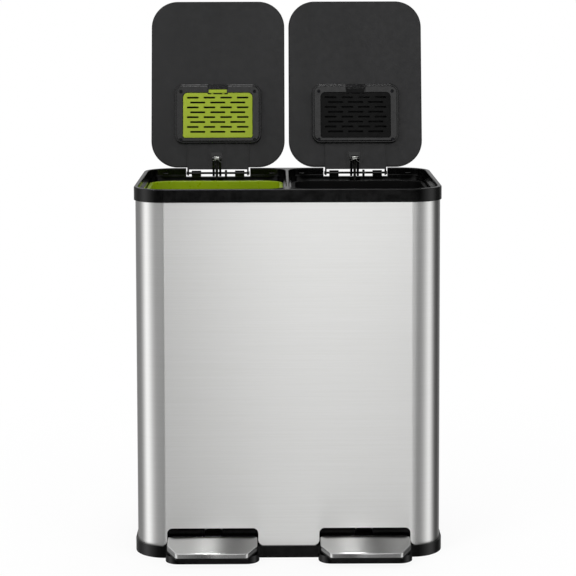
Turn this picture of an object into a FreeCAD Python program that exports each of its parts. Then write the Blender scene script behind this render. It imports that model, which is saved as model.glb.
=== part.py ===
import FreeCAD, Part
import math
import os
import operator
import Sketcher
from FreeCAD import Placement, Rotation, Vector

# Free-standing double recycling bin with two pedals, two lids and two lift-out buckets.
#
# Frame: millimetres, +X to the user's right, +Y to the back, +Z up.  The origin is the centre of the
# carcass on the floor.  The stored pose has both lids open and both pedals pressed.

os.makedirs("parts", exist_ok=True)
doc = FreeCAD.newDocument("DoubleRecyclingBin")

# ---------------------------------------------------------------- driving dimensions

DRIVING = {
    # carcass
    "body_width": 510,
    "body_depth": 330,
    "body_corner": 50,
    "steel_gauge": 0.8,
    "rim_top": 618,
    # base tray
    "base_height": 20,
    "base_overhang": 3.5,
    "base_floor": 3,
    "base_lip": 2.5,
    "base_lip_rise": 12,
    "lip_clearance": 0.3,
    "toe_width": 156,
    "toe_reach": 33,
    "toe_height": 12,
    "toe_corner": 22,
    "toe_wall": 3,
    "pad_radius": 14,
    "pad_depth": 2,
    "pad_inset": 40,
    # top rim
    "rim_band": 22,
    "rim_overhang": 2.5,
    "rim_wall": 7,
    "rim_round": 1.5,
    "rim_grip": 5.5,
    "divider": 5.4,
    "divider_corner": 40,
    "lid_seat_drop": 12.5,
    "lid_seat": 4,
    "bucket_seat_drop": 21.5,
    "bucket_seat": 5,
    "rim_deck": 3,
    "bucket_back": 123,
    "notch_width": 117,
    "notch_depth": 15.5,
    # lids
    "lid_side_gap": 3,
    "lid_middle_gap": 1,
    "lid_length": 305,
    "lid_edge": 10.5,
    "lid_corner": 48,
    "lid_above_axis": 8.3,
    "lid_below_axis": 3.7,
    "liner_thickness": 3,
    "liner_margin": 2.5,
    "skin_thickness": 0.8,
    "skin_margin": 6,
    "skin_gap": 0.15,
    "open_lean": 9,
    # hinge
    "hinge_drop": 8.5,
    "hinge_inset": 8,
    "pin_radius": 2,
    "pin_clearance": 0.05,
    "pin_head": 3.2,
    "pin_head_length": 1,
    "knuckle_radius": 4.5,
    "panel_width": 112,
    "panel_thickness": 3,
    "panel_start": 6.3,
    "panel_rib": 1.2,
    "panel_rib_inset": 6,
    "panel_rib_left": 18,
    "panel_rib_right": 14,
    "ear_thickness": 3,
    "side_lug_start": 31,
    "side_lug_width": 17,
    "middle_lug_start": 12.4,
    "middle_lug_width": 4,
    "middle_lug_radius": 5.5,
    # lift lever and rod
    "rod_offset": -2,
    "rod_radius": 2.5,
    "eye_up": 25,
    "eye_out": 13,
    "lever_radius": 6,
    "lever_plate": 2,
    "lever_plate_side": 2,
    "lever_plate_below": 8,
    "lever_plate_above": 12,
    "cheek_thickness": 4,
    "cheek_gap": 8,
    "eye_length": 5,
    "eye_radius": 4.5,
    "boss_radius": 5.4,
    "lever_pin_radius": 2,
    "rod_slot_half_width": 11,
    "collar_radius": 5,
    "collar_height": 3,
    "collar_gap": 1.5,
    "collar_play": 5,
    "rod_tail": 5,
    # deodoriser housing and grille
    "housing_width": 158.5,
    "housing_height": 108,
    "housing_start": 53.3,
    "housing_depth": 16,
    "housing_corner": 16,
    "housing_step": 3,
    "housing_step_depth": 3,
    "housing_round": 2,
    "grille_width": 126,
    "grille_height": 81.6,
    "grille_start": 63.7,
    "grille_gap": 1,
    "grille_recess": 0.5,
    "grille_thickness": 2.4,
    "grille_top_corner": 8,
    "grille_low_corner": 3.5,
    "slot_pitch": 8.93,
    "slot_height": 3.4,
    "slot_round": 1.2,
    "first_slot": 10.5,
    "long_slot": 27.4,
    "long_slot_pitch": 36.5,
    "short_slot": 21.2,
    "short_slot_pitch": 30.3,
    "tab_width": 33,
    "tab_height": 6,
    "tab_notch": 2.6,
    "tab_web": 4,
    "tab_web_place": 10,
    "tab_web_depth": 1.4,
    "tab_bay_width": 37,
    "tab_bay_gap": 1,
    "tab_bay_depth": 6,
    "scoop_sill": 1,
    "trunnion_radius": 1.5,
    "trunnion_length": 3,
    "trunnion_rise": 4.5,
    "housing_screw_x": 67,
    "housing_screw_low": 59.7,
    "housing_screw_span": 88,
    "screw_recess_radius": 3.2,
    "screw_recess_depth": 5,
    "screw_head_radius": 2.8,
    "screw_head_height": 2,
    "screw_radius": 1.5,
    "screw_clearance": 0.05,
    "screw_end_gap": 0.5,
    "overshoot": 1,
    "small_corner": 0.5,
    "bore_inset": 20,
    "bore_overrun": 10,
    "toe_root": 20,
    "axle_clip_thickness": 1.5,
    "axle_clip_rim": 2,
    "ear_bridge": 12,
    "ear_web": 6,
    "lever_pin_head": 1,
    "lever_pin_rim": 1.2,
    "groove_overrun": 5,
    "filter_margin": 5.5,
    "filter_thickness": 9.5,
    "soft_clearance": 0.3,
    # buckets
    "bucket_gap": 1,
    "bucket_wall": 1.8,
    "bucket_floor": 2.2,
    "bucket_bottom": 78,
    "bucket_corner": 34,
    "bucket_taper_side": 8,
    "bucket_taper_front": 10,
    "bucket_flange": 3,
    # pedals
    "cutout_width": 152,
    "cutout_top": 49,
    "cutout_corner": 9,
    "pedal_gap": 1.5,
    "pedal_shift": 1.4,
    "pivot_back": 60,
    "pivot_height": 30,
    "pedal_slope": 9,
    "tread_back": 56,
    "tread_front": 122,
    "tread_top": 15.4,
    "cap_gauge": 1,
    "cap_lip": 8,
    "cap_round": 2.4,
    "cap_gap": 0.15,
    "core_flange": 3,
    "chamfer_side": 16,
    "chamfer_back": 28,
    "rear_corner": 9,
    "chamfer_round": 7,
    "lever_width": 24,
    "lever_thickness": 5,
    "lever_front": 112,
    "lever_fit": 0.1,
    "sleeve_radius": 8,
    "sleeve_length": 34,
    "axle_radius": 3,
    "bracket_gap": 1,
    "bracket_thickness": 4,
    "bracket_radius": 8,
    "fork_clearance": 0.8,
    "fork_front": 13,
    "fork_back": 9,
    "pedal_screw_first": 70,
    "pedal_screw_step": 30,
    "shroud_wall": 2.5,
    "shroud_depth": 34,
    "shroud_setback": 5.4,
    "shroud_headroom": 2.5,
    "shroud_slot": 30,
    "shroud_slot_rise": 52,
}

sheet = doc.addObject("Spreadsheet::Sheet", "Sizes")
for row, (name, number) in enumerate(DRIVING.items(), start=1):
    sheet.set(f"A{row}", name)
    sheet.set(f"B{row}", str(number))
    sheet.setAlias(f"B{row}", name)
doc.recompute()


class Size:
    """A size: its number now, and the sheet formula that it follows."""

    def __init__(self, number, formula):
        self.number = float(number)
        self.formula = formula

    def __float__(self):
        return self.number


def as_size(value):
    return value if isinstance(value, Size) else Size(value, repr(float(value)))


def joined(sign, work):
    def forward(self, other):
        other = as_size(other)
        return Size(work(self.number, other.number), f"({self.formula} {sign} {other.formula})")

    def backward(self, other):
        return forward(as_size(other), self)

    return forward, backward


Size.__add__, Size.__radd__ = joined("+", operator.add)
Size.__sub__, Size.__rsub__ = joined("-", operator.sub)
Size.__mul__, Size.__rmul__ = joined("*", operator.mul)
Size.__truediv__, Size.__rtruediv__ = joined("/", operator.truediv)
Size.__neg__ = lambda self: -1 * self


def sine(angle):
    return Size(math.sin(math.radians(angle.number)), f"sin({angle.formula})")


def cosine(angle):
    return Size(math.cos(math.radians(angle.number)), f"cos({angle.formula})")


def root(size):
    return Size(math.sqrt(size.number), f"sqrt({size.formula})")


class Sizes:
    """Every driving dimension by name, as a Size bound to its cell."""

    def __getattr__(self, name):
        return Size(sheet.get(name), f"Sizes.{name}")


S = Sizes()

# ---------------------------------------------------------------- drawing helpers


def bind(thing, prop, size):
    """Ties a property or constraint to its formula."""
    thing.setExpression(prop, as_size(size).formula)


def new_body(label):
    body = doc.addObject("PartDesign::Body", label)
    body.Label = label
    return body


def origin_plane(body, role):
    return next(plane for plane in body.Origin.OriginFeatures if plane.Role == role)


def new_sketch(body, plane, level):
    """A sketch across X and Y at height level, across X and Z at depth Y = level, or across Y and Z at X = level."""
    sketch = body.newObject("Sketcher::SketchObject", f"{body.Name}_outline")
    sketch.AttachmentSupport = [(origin_plane(body, f"{plane}_Plane"), "")]
    sketch.MapMode = "FlatFace"
    bind(sketch, "AttachmentOffset.Base.z", -as_size(level) if plane == "XZ" else level)
    return sketch


def hold(sketch, kind, *args):
    """Adds a constraint whose last argument is a Size."""
    *where, size = args
    index = sketch.addConstraint(Sketcher.Constraint(kind, *where, float(as_size(size))))
    bind(sketch, f"Constraints[{index}]", size)


def place_point(sketch, element, point, x, y):
    """Fixes a point of the sketch at x, y from its origin."""
    for kind, value, axis in (("DistanceX", as_size(x), -2), ("DistanceY", as_size(y), -1)):
        if value.number == 0:
            sketch.addConstraint(Sketcher.Constraint("PointOnObject", element, point, axis))
        else:
            hold(sketch, kind, -1, 1, element, point, value)


def draw_circle(sketch, x, y, radius):
    x, y, radius = as_size(x), as_size(y), as_size(radius)
    circle = Part.Circle(Vector(x.number, y.number, 0), Vector(0, 0, 1), radius.number)
    index = sketch.addGeometry(circle, False)
    hold(sketch, "Radius", index, radius)
    place_point(sketch, index, 3, x, y)


def draw_polygon(sketch, points):
    """A closed outline of straight lines through points, each an (x, y) pair of Sizes."""
    points = [(as_size(x), as_size(y)) for x, y in points]
    spots = [Vector(x.number, y.number, 0) for x, y in points]
    first = sketch.GeometryCount
    count = len(points)
    lines = [Part.LineSegment(spots[i], spots[(i + 1) % count]) for i in range(count)]
    sketch.addGeometry(lines, False)
    for i in range(count):
        after = first + (i + 1) % count
        sketch.addConstraint(Sketcher.Constraint("Coincident", first + i, 2, after, 1))
    for i, (x, y) in enumerate(points):
        place_point(sketch, first + i, 1, x, y)


def draw_rectangle(sketch, left, right, low, high):
    draw_polygon(sketch, [(left, low), (right, low), (right, high), (left, high)])


def draw_rounded(sketch, left, right, low, high, corners):
    """A rectangle with rounded corners: one radius, or four from low right round to low left."""
    corners = [as_size(c) for c in (corners if isinstance(corners, (list, tuple)) else [corners] * 4)]
    left, right, low, high = (as_size(v) for v in (left, right, low, high))
    x0, x1, y0, y1 = left.number, right.number, low.number, high.number
    turns = (
        (x1, y0, -1, 1, 270),
        (x1, y1, -1, -1, 0),
        (x0, y1, 1, -1, 90),
        (x0, y0, 1, 1, 180),
    )
    arcs = []
    for (x, y, inward_x, inward_y, start), corner in zip(turns, corners):
        radius = corner.number
        centre = Vector(x + inward_x * radius, y + inward_y * radius, 0)
        circle = Part.Circle(centre, Vector(0, 0, 1), radius)
        arcs.append(Part.ArcOfCircle(circle, math.radians(start), math.radians(start + 90)))
    lines = []
    for i in range(4):
        lines.append(Part.LineSegment(arcs[i - 1].EndPoint, arcs[i].StartPoint))
    first = sketch.GeometryCount
    sketch.addGeometry(lines, False)
    sketch.addGeometry(arcs, False)
    for i in range(4):
        line, arc, following = first + i, first + 4 + i, first + (i + 1) % 4
        sketch.addConstraint(Sketcher.Constraint("Tangent", line, 2, arc, 1))
        sketch.addConstraint(Sketcher.Constraint("Tangent", arc, 2, following, 1))
        sketch.addConstraint(Sketcher.Constraint("Horizontal" if i % 2 == 0 else "Vertical", line))
    for i, corner in enumerate(corners):
        hold(sketch, "Radius", first + 4 + i, corner)
    hold(sketch, "DistanceY", -1, 1, first, 1, low)
    hold(sketch, "DistanceX", -1, 1, first + 1, 1, right)
    hold(sketch, "DistanceY", -1, 1, first + 2, 1, high)
    hold(sketch, "DistanceX", -1, 1, first + 3, 1, left)


def draw_flare(sketch, x, low, hand, radius):
    """The sliver that rounds the sheet's corner at x, low where an opening's side meets the sheet's lower edge."""
    x, low, radius = as_size(x), as_size(low), as_size(radius)
    outer = x + hand * radius
    below = low - 1
    spots = [(x, low + radius), (x, below), (outer, below), (outer, low)]
    points = [Vector(a.number, b.number, 0) for a, b in spots]
    centre = Vector(outer.number, (low + radius).number, 0)
    circle = Part.Circle(centre, Vector(0, 0, 1), radius.number)
    first = sketch.GeometryCount
    sketch.addGeometry([Part.LineSegment(points[i], points[i + 1]) for i in range(3)], False)
    if hand > 0:
        sketch.addGeometry(Part.ArcOfCircle(circle, math.pi, 1.5 * math.pi), False)
        start_end, last_end = 1, 2
    else:
        sketch.addGeometry(Part.ArcOfCircle(circle, 1.5 * math.pi, 2 * math.pi), False)
        start_end, last_end = 2, 1
    for i in range(2):
        sketch.addConstraint(Sketcher.Constraint("Coincident", first + i, 2, first + i + 1, 1))
    sketch.addConstraint(Sketcher.Constraint("Coincident", first, 1, first + 3, start_end))
    sketch.addConstraint(Sketcher.Constraint("Coincident", first + 2, 2, first + 3, last_end))
    for i in range(3):
        place_point(sketch, first + i, 1, *spots[i])
    place_point(sketch, first + 2, 2, *spots[3])
    hold(sketch, "Radius", first + 3, radius)


def pad(body, sketch, length):
    """Material from the sketch along +Z, towards -Y, or along +X, by the sketch's plane."""
    feature = body.newObject("PartDesign::Pad", f"{body.Name}_pad")
    feature.Profile = sketch
    bind(feature, "Length", length)
    doc.recompute()
    return feature


def cut(body, sketch, length):
    """Takes material away from the sketch towards -Z, +Y or -X, and tests that some went."""
    before = body.Shape.Volume
    feature = body.newObject("PartDesign::Pocket", f"{body.Name}_pocket")
    feature.Profile = sketch
    bind(feature, "Length", length)
    doc.recompute()
    if body.Shape.Volume > before - 1e-3:
        raise ValueError(f"a pocket of {body.Label} removes nothing")
    return feature


def edges_where(shape, test):
    return [f"Edge{i}" for i, edge in enumerate(shape.Edges, start=1) if test(edge)]


def round_edges(body, radius, test):
    """Rounds the edges of the body that pass the test."""
    base = body.Tip
    names = edges_where(base.Shape, test)
    if not names:
        raise ValueError(f"no edge of {body.Label} passes the test for rounding")
    feature = body.newObject("PartDesign::Fillet", f"{body.Name}_round")
    feature.Base = (base, names)
    bind(feature, "Radius", radius)
    doc.recompute()
    return feature


def repeat_up(body, features, span, count):
    """Repeats features along the sketch's upward axis, over span, count times in all."""
    feature = body.newObject("PartDesign::LinearPattern", f"{body.Name}_rows")
    feature.Originals = features
    feature.Direction = (features[0].Profile[0], ["V_Axis"])
    bind(feature, "Length", span)
    feature.Occurrences = count
    body.Tip = feature
    doc.recompute()
    return feature


def at_level(edge, axis, level, within=0.01):
    """True for an edge that lies wholly at one level along an axis."""
    return all(abs(getattr(v.Point, axis) - float(level)) < within for v in edge.Vertexes)


def runs_along(edge, axis):
    """True for a straight edge along an axis."""
    if not isinstance(edge.Curve, Part.Line):
        return False
    return abs(abs(getattr(edge.Curve.Direction, axis)) - 1) < 1e-6


def rod_along_x(name, start, length, y, z, radius):
    """A round bar along X."""
    bar = doc.addObject("Part::Cylinder", name)
    bind(bar, "Radius", radius)
    bind(bar, "Height", length)
    bar.Placement = Placement(Vector(0, 0, 0), Rotation(Vector(0, 1, 0), 90))
    for axis, value in zip("xyz", (start, y, z)):
        bind(bar, f"Placement.Base.{axis}", value)
    return bar


def upright_bar(name, x, y, bottom, length, radius):
    """A round bar along Z."""
    bar = doc.addObject("Part::Cylinder", name)
    bind(bar, "Radius", radius)
    bind(bar, "Height", length)
    for axis, value in zip("xyz", (x, y, bottom)):
        bind(bar, f"Placement.Base.{axis}", value)
    return bar


def bar_along_y(name, x, y, z, length, radius):
    """A round bar along +Y from its start."""
    bar = doc.addObject("Part::Cylinder", name)
    bind(bar, "Radius", radius)
    bind(bar, "Height", length)
    bar.Placement = Placement(Vector(0, 0, 0), Rotation(Vector(1, 0, 0), -90))
    for axis, value in zip("xyz", (x, y, z)):
        bind(bar, f"Placement.Base.{axis}", value)
    return bar


def fused(label, *pieces):
    """One solid from pieces that meet."""
    whole = doc.addObject("Part::MultiFuse", label)
    whole.Label = label
    whole.Shapes = list(pieces)
    whole.Refine = True
    return whole


def grouped(label, pieces):
    """A set of like pieces that share one node and stay separate solids."""
    whole = doc.addObject("Part::Compound", label)
    whole.Label = label
    whole.Links = list(pieces)
    return whole


nodes = []


def finished(thing):
    nodes.append(thing)
    return thing


# ---------------------------------------------------------------- derived places

half_width = S.body_width / 2
half_depth = S.body_depth / 2
base_half_width = half_width + S.base_overhang
base_half_depth = half_depth + S.base_overhang
LONG_SLOT_COUNT = 3
SHORT_SLOT_COUNT = 4
SLOT_ROW_PAIRS = 4
base_corner = S.body_corner + S.base_overhang
rim_half_width = half_width + S.rim_overhang
rim_half_depth = half_depth + S.rim_overhang
rim_corner = S.body_corner + S.rim_overhang
steel_inside = S.steel_gauge + S.lip_clearance
steel_top = S.rim_top - S.rim_band + S.rim_grip

opening_outer = rim_half_width - S.rim_wall
opening_inner = S.divider / 2
opening_depth = rim_half_depth - S.rim_wall
opening_corner = rim_corner - S.rim_wall

hinge_y = half_depth - S.hinge_inset
hinge_z = S.rim_top - S.hinge_drop
lid_inner = opening_inner + S.lid_middle_gap
lid_width = opening_outer - S.lid_side_gap - lid_inner
lid_centre = lid_inner + lid_width / 2
lid_far = S.lid_edge + S.lid_length
lean = S.open_lean

shelf_outer = opening_outer - S.lid_seat
shelf_inner = opening_inner + S.lid_seat
shelf_depth = opening_depth - S.lid_seat
bucket_hole_outer = shelf_outer - S.bucket_seat
bucket_hole_inner = shelf_inner + S.bucket_seat
bucket_hole_front = shelf_depth - S.bucket_seat
bucket_hole_back = S.bucket_back - S.bucket_seat + S.bucket_gap / 2

pedal_centre = lid_centre + S.pedal_shift
pivot_y = S.pivot_back - half_depth
pivot_z = S.pivot_height
tread_half = S.cutout_width / 2 - S.pedal_gap

# The eye of the lift lever, in the stored pose with the lid open.
eye_y = hinge_y + S.eye_up * sine(lean) - S.eye_out * cosine(lean)
eye_z = hinge_z + S.eye_up * cosine(lean) + S.eye_out * sine(lean)

# The pedal lever's bar lies on the tread core's underside; its fork stands under the eye.
bar_low = S.tread_top - S.cap_lip - S.core_flange
bar_mid = bar_low + S.lever_thickness / 2
fork_reach = (eye_y - pivot_y + bar_mid * sine(S.pedal_slope)) / cosine(S.pedal_slope)
fork_z = pivot_z + fork_reach * sine(S.pedal_slope) + bar_mid * cosine(S.pedal_slope)


def put_on_lid(thing, side):
    """Stands a piece drawn in the lid's own frame on its open lid: X across, Y outward, Z from hinge to free edge."""
    thing.Placement = Placement(Vector(0, 0, 0), Rotation(Vector(1, 0, 0), 10))
    bind(thing, "Placement.Base.x", side * lid_centre)
    bind(thing, "Placement.Base.y", hinge_y)
    bind(thing, "Placement.Base.z", hinge_z)
    bind(thing, "Placement.Rotation.Angle", -lean)


def put_on_pedal(thing, side):
    """Stands a piece drawn in the pedal's own frame, with its pivot at the origin, on the pressed pedal."""
    thing.Placement = Placement(Vector(0, 0, 0), Rotation(Vector(1, 0, 0), 10))
    bind(thing, "Placement.Base.x", side * pedal_centre)
    bind(thing, "Placement.Base.y", pivot_y)
    bind(thing, "Placement.Base.z", pivot_z)
    bind(thing, "Placement.Rotation.Angle", S.pedal_slope)


# ---------------------------------------------------------------- carcass


def body_shell():
    """The steel wrap, open at top and bottom, with a cut-out over each pedal."""
    body = new_body("body_shell")
    wrap = new_sketch(body, "XY", S.base_height)
    draw_rounded(wrap, -half_width, half_width, -half_depth, half_depth, S.body_corner)
    inside = half_width - S.steel_gauge
    inside_depth = half_depth - S.steel_gauge
    inside_corner = S.body_corner - S.steel_gauge
    draw_rounded(wrap, -inside, inside, -inside_depth, inside_depth, inside_corner)
    pad(body, wrap, steel_top - S.base_height)
    openings = new_sketch(body, "XZ", -half_depth - S.overshoot)
    flares = new_sketch(body, "XZ", -half_depth - S.overshoot)
    corner = S.cutout_corner
    for side in (-1, 1):
        middle = side * pedal_centre
        half = S.cutout_width / 2
        corners = (S.small_corner, corner, corner, S.small_corner)
        draw_rounded(openings, middle - half, middle + half, S.base_height - S.overshoot, S.cutout_top, corners)
        for hand in (-1, 1):
            draw_flare(flares, middle + hand * half, S.base_height, hand, corner)
    cut(body, openings, S.steel_gauge + 2 * S.overshoot)
    cut(body, flares, S.steel_gauge + 2 * S.overshoot)
    return finished(body)


def top_rim():
    """The moulded rim: outer band, two lid openings, seats for lids and buckets, hinge notches and lugs."""
    body = new_body("top_rim")
    band_bottom = S.rim_top - S.rim_band
    deck_bottom = S.rim_top - S.bucket_seat_drop - S.rim_deck
    band = new_sketch(body, "XY", band_bottom)
    draw_rounded(band, -rim_half_width, rim_half_width, -rim_half_depth, rim_half_depth, rim_corner)
    pad(body, band, S.rim_band)
    plug = new_sketch(body, "XY", deck_bottom)
    plug_x = half_width - steel_inside
    plug_y = half_depth - steel_inside
    plug_corner = S.body_corner - steel_inside
    draw_rounded(plug, -plug_x, plug_x, -plug_y, plug_y, plug_corner)
    pad(body, plug, band_bottom - deck_bottom + S.overshoot)

    groove = new_sketch(body, "XY", steel_top + S.lip_clearance)
    outer_gap = S.lip_clearance / 2
    draw_rounded(
        groove,
        -half_width - outer_gap,
        half_width + outer_gap,
        -half_depth - outer_gap,
        half_depth + outer_gap,
        S.body_corner + outer_gap,
    )
    draw_rounded(groove, -plug_x, plug_x, -plug_y, plug_y, plug_corner)
    cut(body, groove, S.rim_grip + S.lip_clearance + S.overshoot)

    def sided(near, far, side):
        """Left and right limits of an opening that runs from near the divider to far."""
        return (near, far) if side > 0 else (-far, -near)

    def sided_corners(outer, inner, side):
        return (outer, outer, inner, inner) if side > 0 else (inner, inner, outer, outer)

    steps = (
        (opening_inner, opening_outer, -opening_depth, opening_depth, 0, S.rim_top, S.lid_seat_drop),
        (
            shelf_inner,
            shelf_outer,
            -shelf_depth,
            shelf_depth,
            S.lid_seat,
            S.rim_top - S.lid_seat_drop,
            S.bucket_seat_drop - S.lid_seat_drop,
        ),
        (
            bucket_hole_inner,
            bucket_hole_outer,
            -bucket_hole_front,
            bucket_hole_back,
            S.lid_seat + S.bucket_seat,
            S.rim_top - S.bucket_seat_drop,
            S.rim_deck + S.overshoot,
        ),
    )
    for near, far, front, back, inward, level, drop in steps:
        opening = new_sketch(body, "XY", level)
        for side in (-1, 1):
            left, right = sided(near, far, side)
            corners = sided_corners(opening_corner - inward, S.divider_corner - inward, side)
            draw_rounded(opening, left, right, front, back, corners)
        cut(body, opening, drop)
    top = S.rim_top.number
    round_edges(body, S.rim_round, lambda edge: at_level(edge, "z", top))

    notches = new_sketch(body, "XY", S.rim_top + S.overshoot)
    for side in (-1, 1):
        middle = side * lid_centre
        half = S.notch_width / 2
        draw_rectangle(
            notches, middle - half, middle + half, shelf_depth - S.overshoot, rim_half_depth + S.overshoot
        )
    cut(body, notches, S.notch_depth + S.overshoot)

    rod_slots = new_sketch(body, "XY", S.rim_top - S.bucket_seat_drop + S.overshoot)
    slot_front = bucket_hole_back + S.bucket_seat + S.bucket_gap
    for side in (-1, 1):
        middle = side * lid_centre + S.rod_offset
        left = middle - S.rod_slot_half_width
        right = middle + S.rod_slot_half_width
        draw_rectangle(rod_slots, left, right, slot_front, shelf_depth)
    cut(body, rod_slots, S.rim_deck + 2 * S.overshoot)

    lug_foot = S.rim_top - S.bucket_seat_drop - S.rim_deck / 2
    lugs = [
        (-S.side_lug_start - S.side_lug_width, S.side_lug_width, S.knuckle_radius),
        (S.side_lug_start, S.side_lug_width, S.knuckle_radius),
        (S.middle_lug_start, S.middle_lug_width, S.middle_lug_radius),
    ]
    for side in (-1, 1):
        for start, width, radius in lugs:
            place = side * lid_centre + start
            leg = new_sketch(body, "YZ", place)
            draw_rectangle(leg, hinge_y - radius, hinge_y + radius, lug_foot, hinge_z)
            pad(body, leg, width)
            knuckle = new_sketch(body, "YZ", place)
            draw_circle(knuckle, hinge_y, hinge_z, radius)
            pad(body, knuckle, width)
    bore = new_sketch(body, "YZ", half_width + S.body_corner)
    draw_circle(bore, hinge_y, hinge_z, S.pin_radius)
    cut(body, bore, S.body_width + 2 * S.body_corner)
    return finished(body)


def base_tray():
    """The moulded base: closed floor, skirt, lip inside the wrap, toe guards and pedal brackets."""
    body = new_body("base_tray")
    skirt = new_sketch(body, "XY", 0)
    draw_rounded(
        skirt, -base_half_width, base_half_width, -base_half_depth, base_half_depth, base_corner
    )
    pad(body, skirt, S.base_height)
    lip = new_sketch(body, "XY", 0)
    lip_x = half_width - steel_inside
    lip_y = half_depth - steel_inside
    draw_rounded(lip, -lip_x, lip_x, -lip_y, lip_y, S.body_corner - steel_inside)
    pad(body, lip, S.base_height + S.base_lip_rise)
    for side in (-1, 1):
        toe = new_sketch(body, "XY", 0)
        middle = side * pedal_centre
        half = S.toe_width / 2
        front = -base_half_depth - S.toe_reach
        draw_rounded(toe, middle - half, middle + half, front, -half_depth + S.toe_root, S.toe_corner)
        pad(body, toe, S.toe_height)
    well = new_sketch(body, "XY", S.base_height + S.base_lip_rise + S.overshoot)
    well_x = lip_x - S.base_lip
    well_y = lip_y - S.base_lip
    draw_rounded(well, -well_x, well_x, -well_y, well_y, S.body_corner - steel_inside - S.base_lip)
    cut(body, well, S.base_height + S.base_lip_rise + S.overshoot - S.base_floor)

    gates = new_sketch(body, "XY", S.base_height + S.base_lip_rise + S.overshoot)
    for side in (-1, 1):
        middle = side * pedal_centre
        half = S.cutout_width / 2 + S.cutout_corner
        draw_rectangle(gates, middle - half, middle + half, -half_depth, -well_y + S.overshoot)
    cut(body, gates, S.base_lip_rise + S.overshoot)

    trays = new_sketch(body, "XY", S.toe_height + S.overshoot)
    for side in (-1, 1):
        middle = side * pedal_centre
        half = S.toe_width / 2 - S.toe_wall
        front = -base_half_depth - S.toe_reach + S.toe_wall
        corner = S.toe_corner - S.toe_wall
        draw_rounded(
            trays,
            middle - half,
            middle + half,
            front,
            -base_half_depth,
            (corner, S.small_corner, S.small_corner, corner),
        )
    cut(body, trays, S.toe_height + S.overshoot - S.base_floor)
    for side in (-1, 1):
        for hand in (-1, 1):
            near = S.sleeve_length / 2 + S.bracket_gap
            start = side * pedal_centre + (near if hand > 0 else -near - S.bracket_thickness)
            post = new_sketch(body, "YZ", start)
            draw_rectangle(
                post, pivot_y - S.bracket_radius, pivot_y + S.bracket_radius, S.base_floor / 2, pivot_z
            )
            pad(body, post, S.bracket_thickness)
            head = new_sketch(body, "YZ", start)
            draw_circle(head, pivot_y, pivot_z, S.bracket_radius)
            pad(body, head, S.bracket_thickness)
    bore = new_sketch(body, "YZ", half_width - S.bore_inset)
    draw_circle(bore, pivot_y, pivot_z, S.axle_radius)
    cut(body, bore, S.body_width - 2 * S.bore_inset)

    pockets = new_sketch(body, "XY", S.pad_depth)
    for x, y in pad_places():
        draw_circle(pockets, x, y, S.pad_radius)
    cut(body, pockets, S.pad_depth + S.overshoot)
    return finished(body)


def pad_places():
    """Four anti-slip discs near the corners of the base."""
    x = half_width - S.pad_inset
    y = half_depth - S.pad_inset
    return [(-x, -y), (x, -y), (x, y), (-x, y)]


def base_pads():
    """Rubber discs set flush in the underside."""
    discs = []
    for index, (x, y) in enumerate(pad_places()):
        discs.append(upright_bar(f"base_disc_{index}", x, y, 0, S.pad_depth, S.pad_radius))
    return finished(grouped("base_pads", discs))


def pedal_shroud(name, side):
    """The dark liner behind a pedal cut-out: roof, two cheeks and a slotted back, standing on the floor."""
    body = new_body(f"pedal_shroud_{name}")
    middle = side * pedal_centre
    half = S.cutout_width / 2 + S.cutout_corner + S.shroud_wall
    front = -half_depth + S.shroud_setback
    back = front + S.shroud_depth
    roof = S.cutout_top + S.shroud_headroom + S.shroud_wall
    block = new_sketch(body, "XY", S.base_floor)
    draw_rectangle(block, middle - half, middle + half, front, back)
    pad(body, block, roof - S.base_floor)
    hollow = new_sketch(body, "XZ", front - S.overshoot)
    inner = half - S.shroud_wall
    draw_rectangle(
        hollow, middle - inner, middle + inner, S.base_floor - S.overshoot, S.cutout_top + S.shroud_headroom
    )
    cut(body, hollow, S.shroud_depth + S.overshoot - S.shroud_wall)
    passage = new_sketch(body, "XZ", back - S.shroud_wall - S.overshoot)
    slot = S.shroud_slot / 2
    draw_rectangle(passage, middle - slot, middle + slot, S.base_floor - S.overshoot, S.shroud_slot_rise)
    cut(body, passage, S.shroud_wall + 2 * S.overshoot)
    return finished(body)


def hinge_pin(name, side):
    """The pin of one lid, headed at both ends."""
    middle = side * lid_centre
    half = S.panel_width / 2 + S.ear_thickness / 2
    shank = rod_along_x(f"hinge_shank_{name}", middle - half, 2 * half, hinge_y, hinge_z, S.pin_radius)
    heads = []
    for hand in (-1, 1):
        start = middle + half - S.pin_head_length if hand > 0 else middle - half
        heads.append(
            rod_along_x(
                f"hinge_head_{name}_{'low' if hand < 0 else 'high'}",
                start,
                S.pin_head_length,
                hinge_y,
                hinge_z,
                S.pin_head,
            )
        )
    return finished(fused(f"hinge_pin_{name}", shank, *heads))


def pedal_axle(name, side):
    """The axle of one pedal, through its two brackets."""
    half = S.sleeve_length / 2 + S.bracket_gap + S.bracket_thickness
    middle = side * pedal_centre
    shank = rod_along_x(f"axle_shank_{name}", middle - half, 2 * half, pivot_y, pivot_z, S.axle_radius)
    clips = []
    for hand in (-1, 1):
        start = middle + half if hand > 0 else middle - half - S.axle_clip_thickness
        clips.append(
            rod_along_x(
                f"axle_clip_{name}_{'low' if hand < 0 else 'high'}",
                start,
                S.axle_clip_thickness,
                pivot_y,
                pivot_z,
                S.axle_radius + S.axle_clip_rim,
            )
        )
    return finished(fused(f"pedal_axle_{name}", shank, *clips))


# ---------------------------------------------------------------- lids, drawn in the lid's own frame


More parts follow.
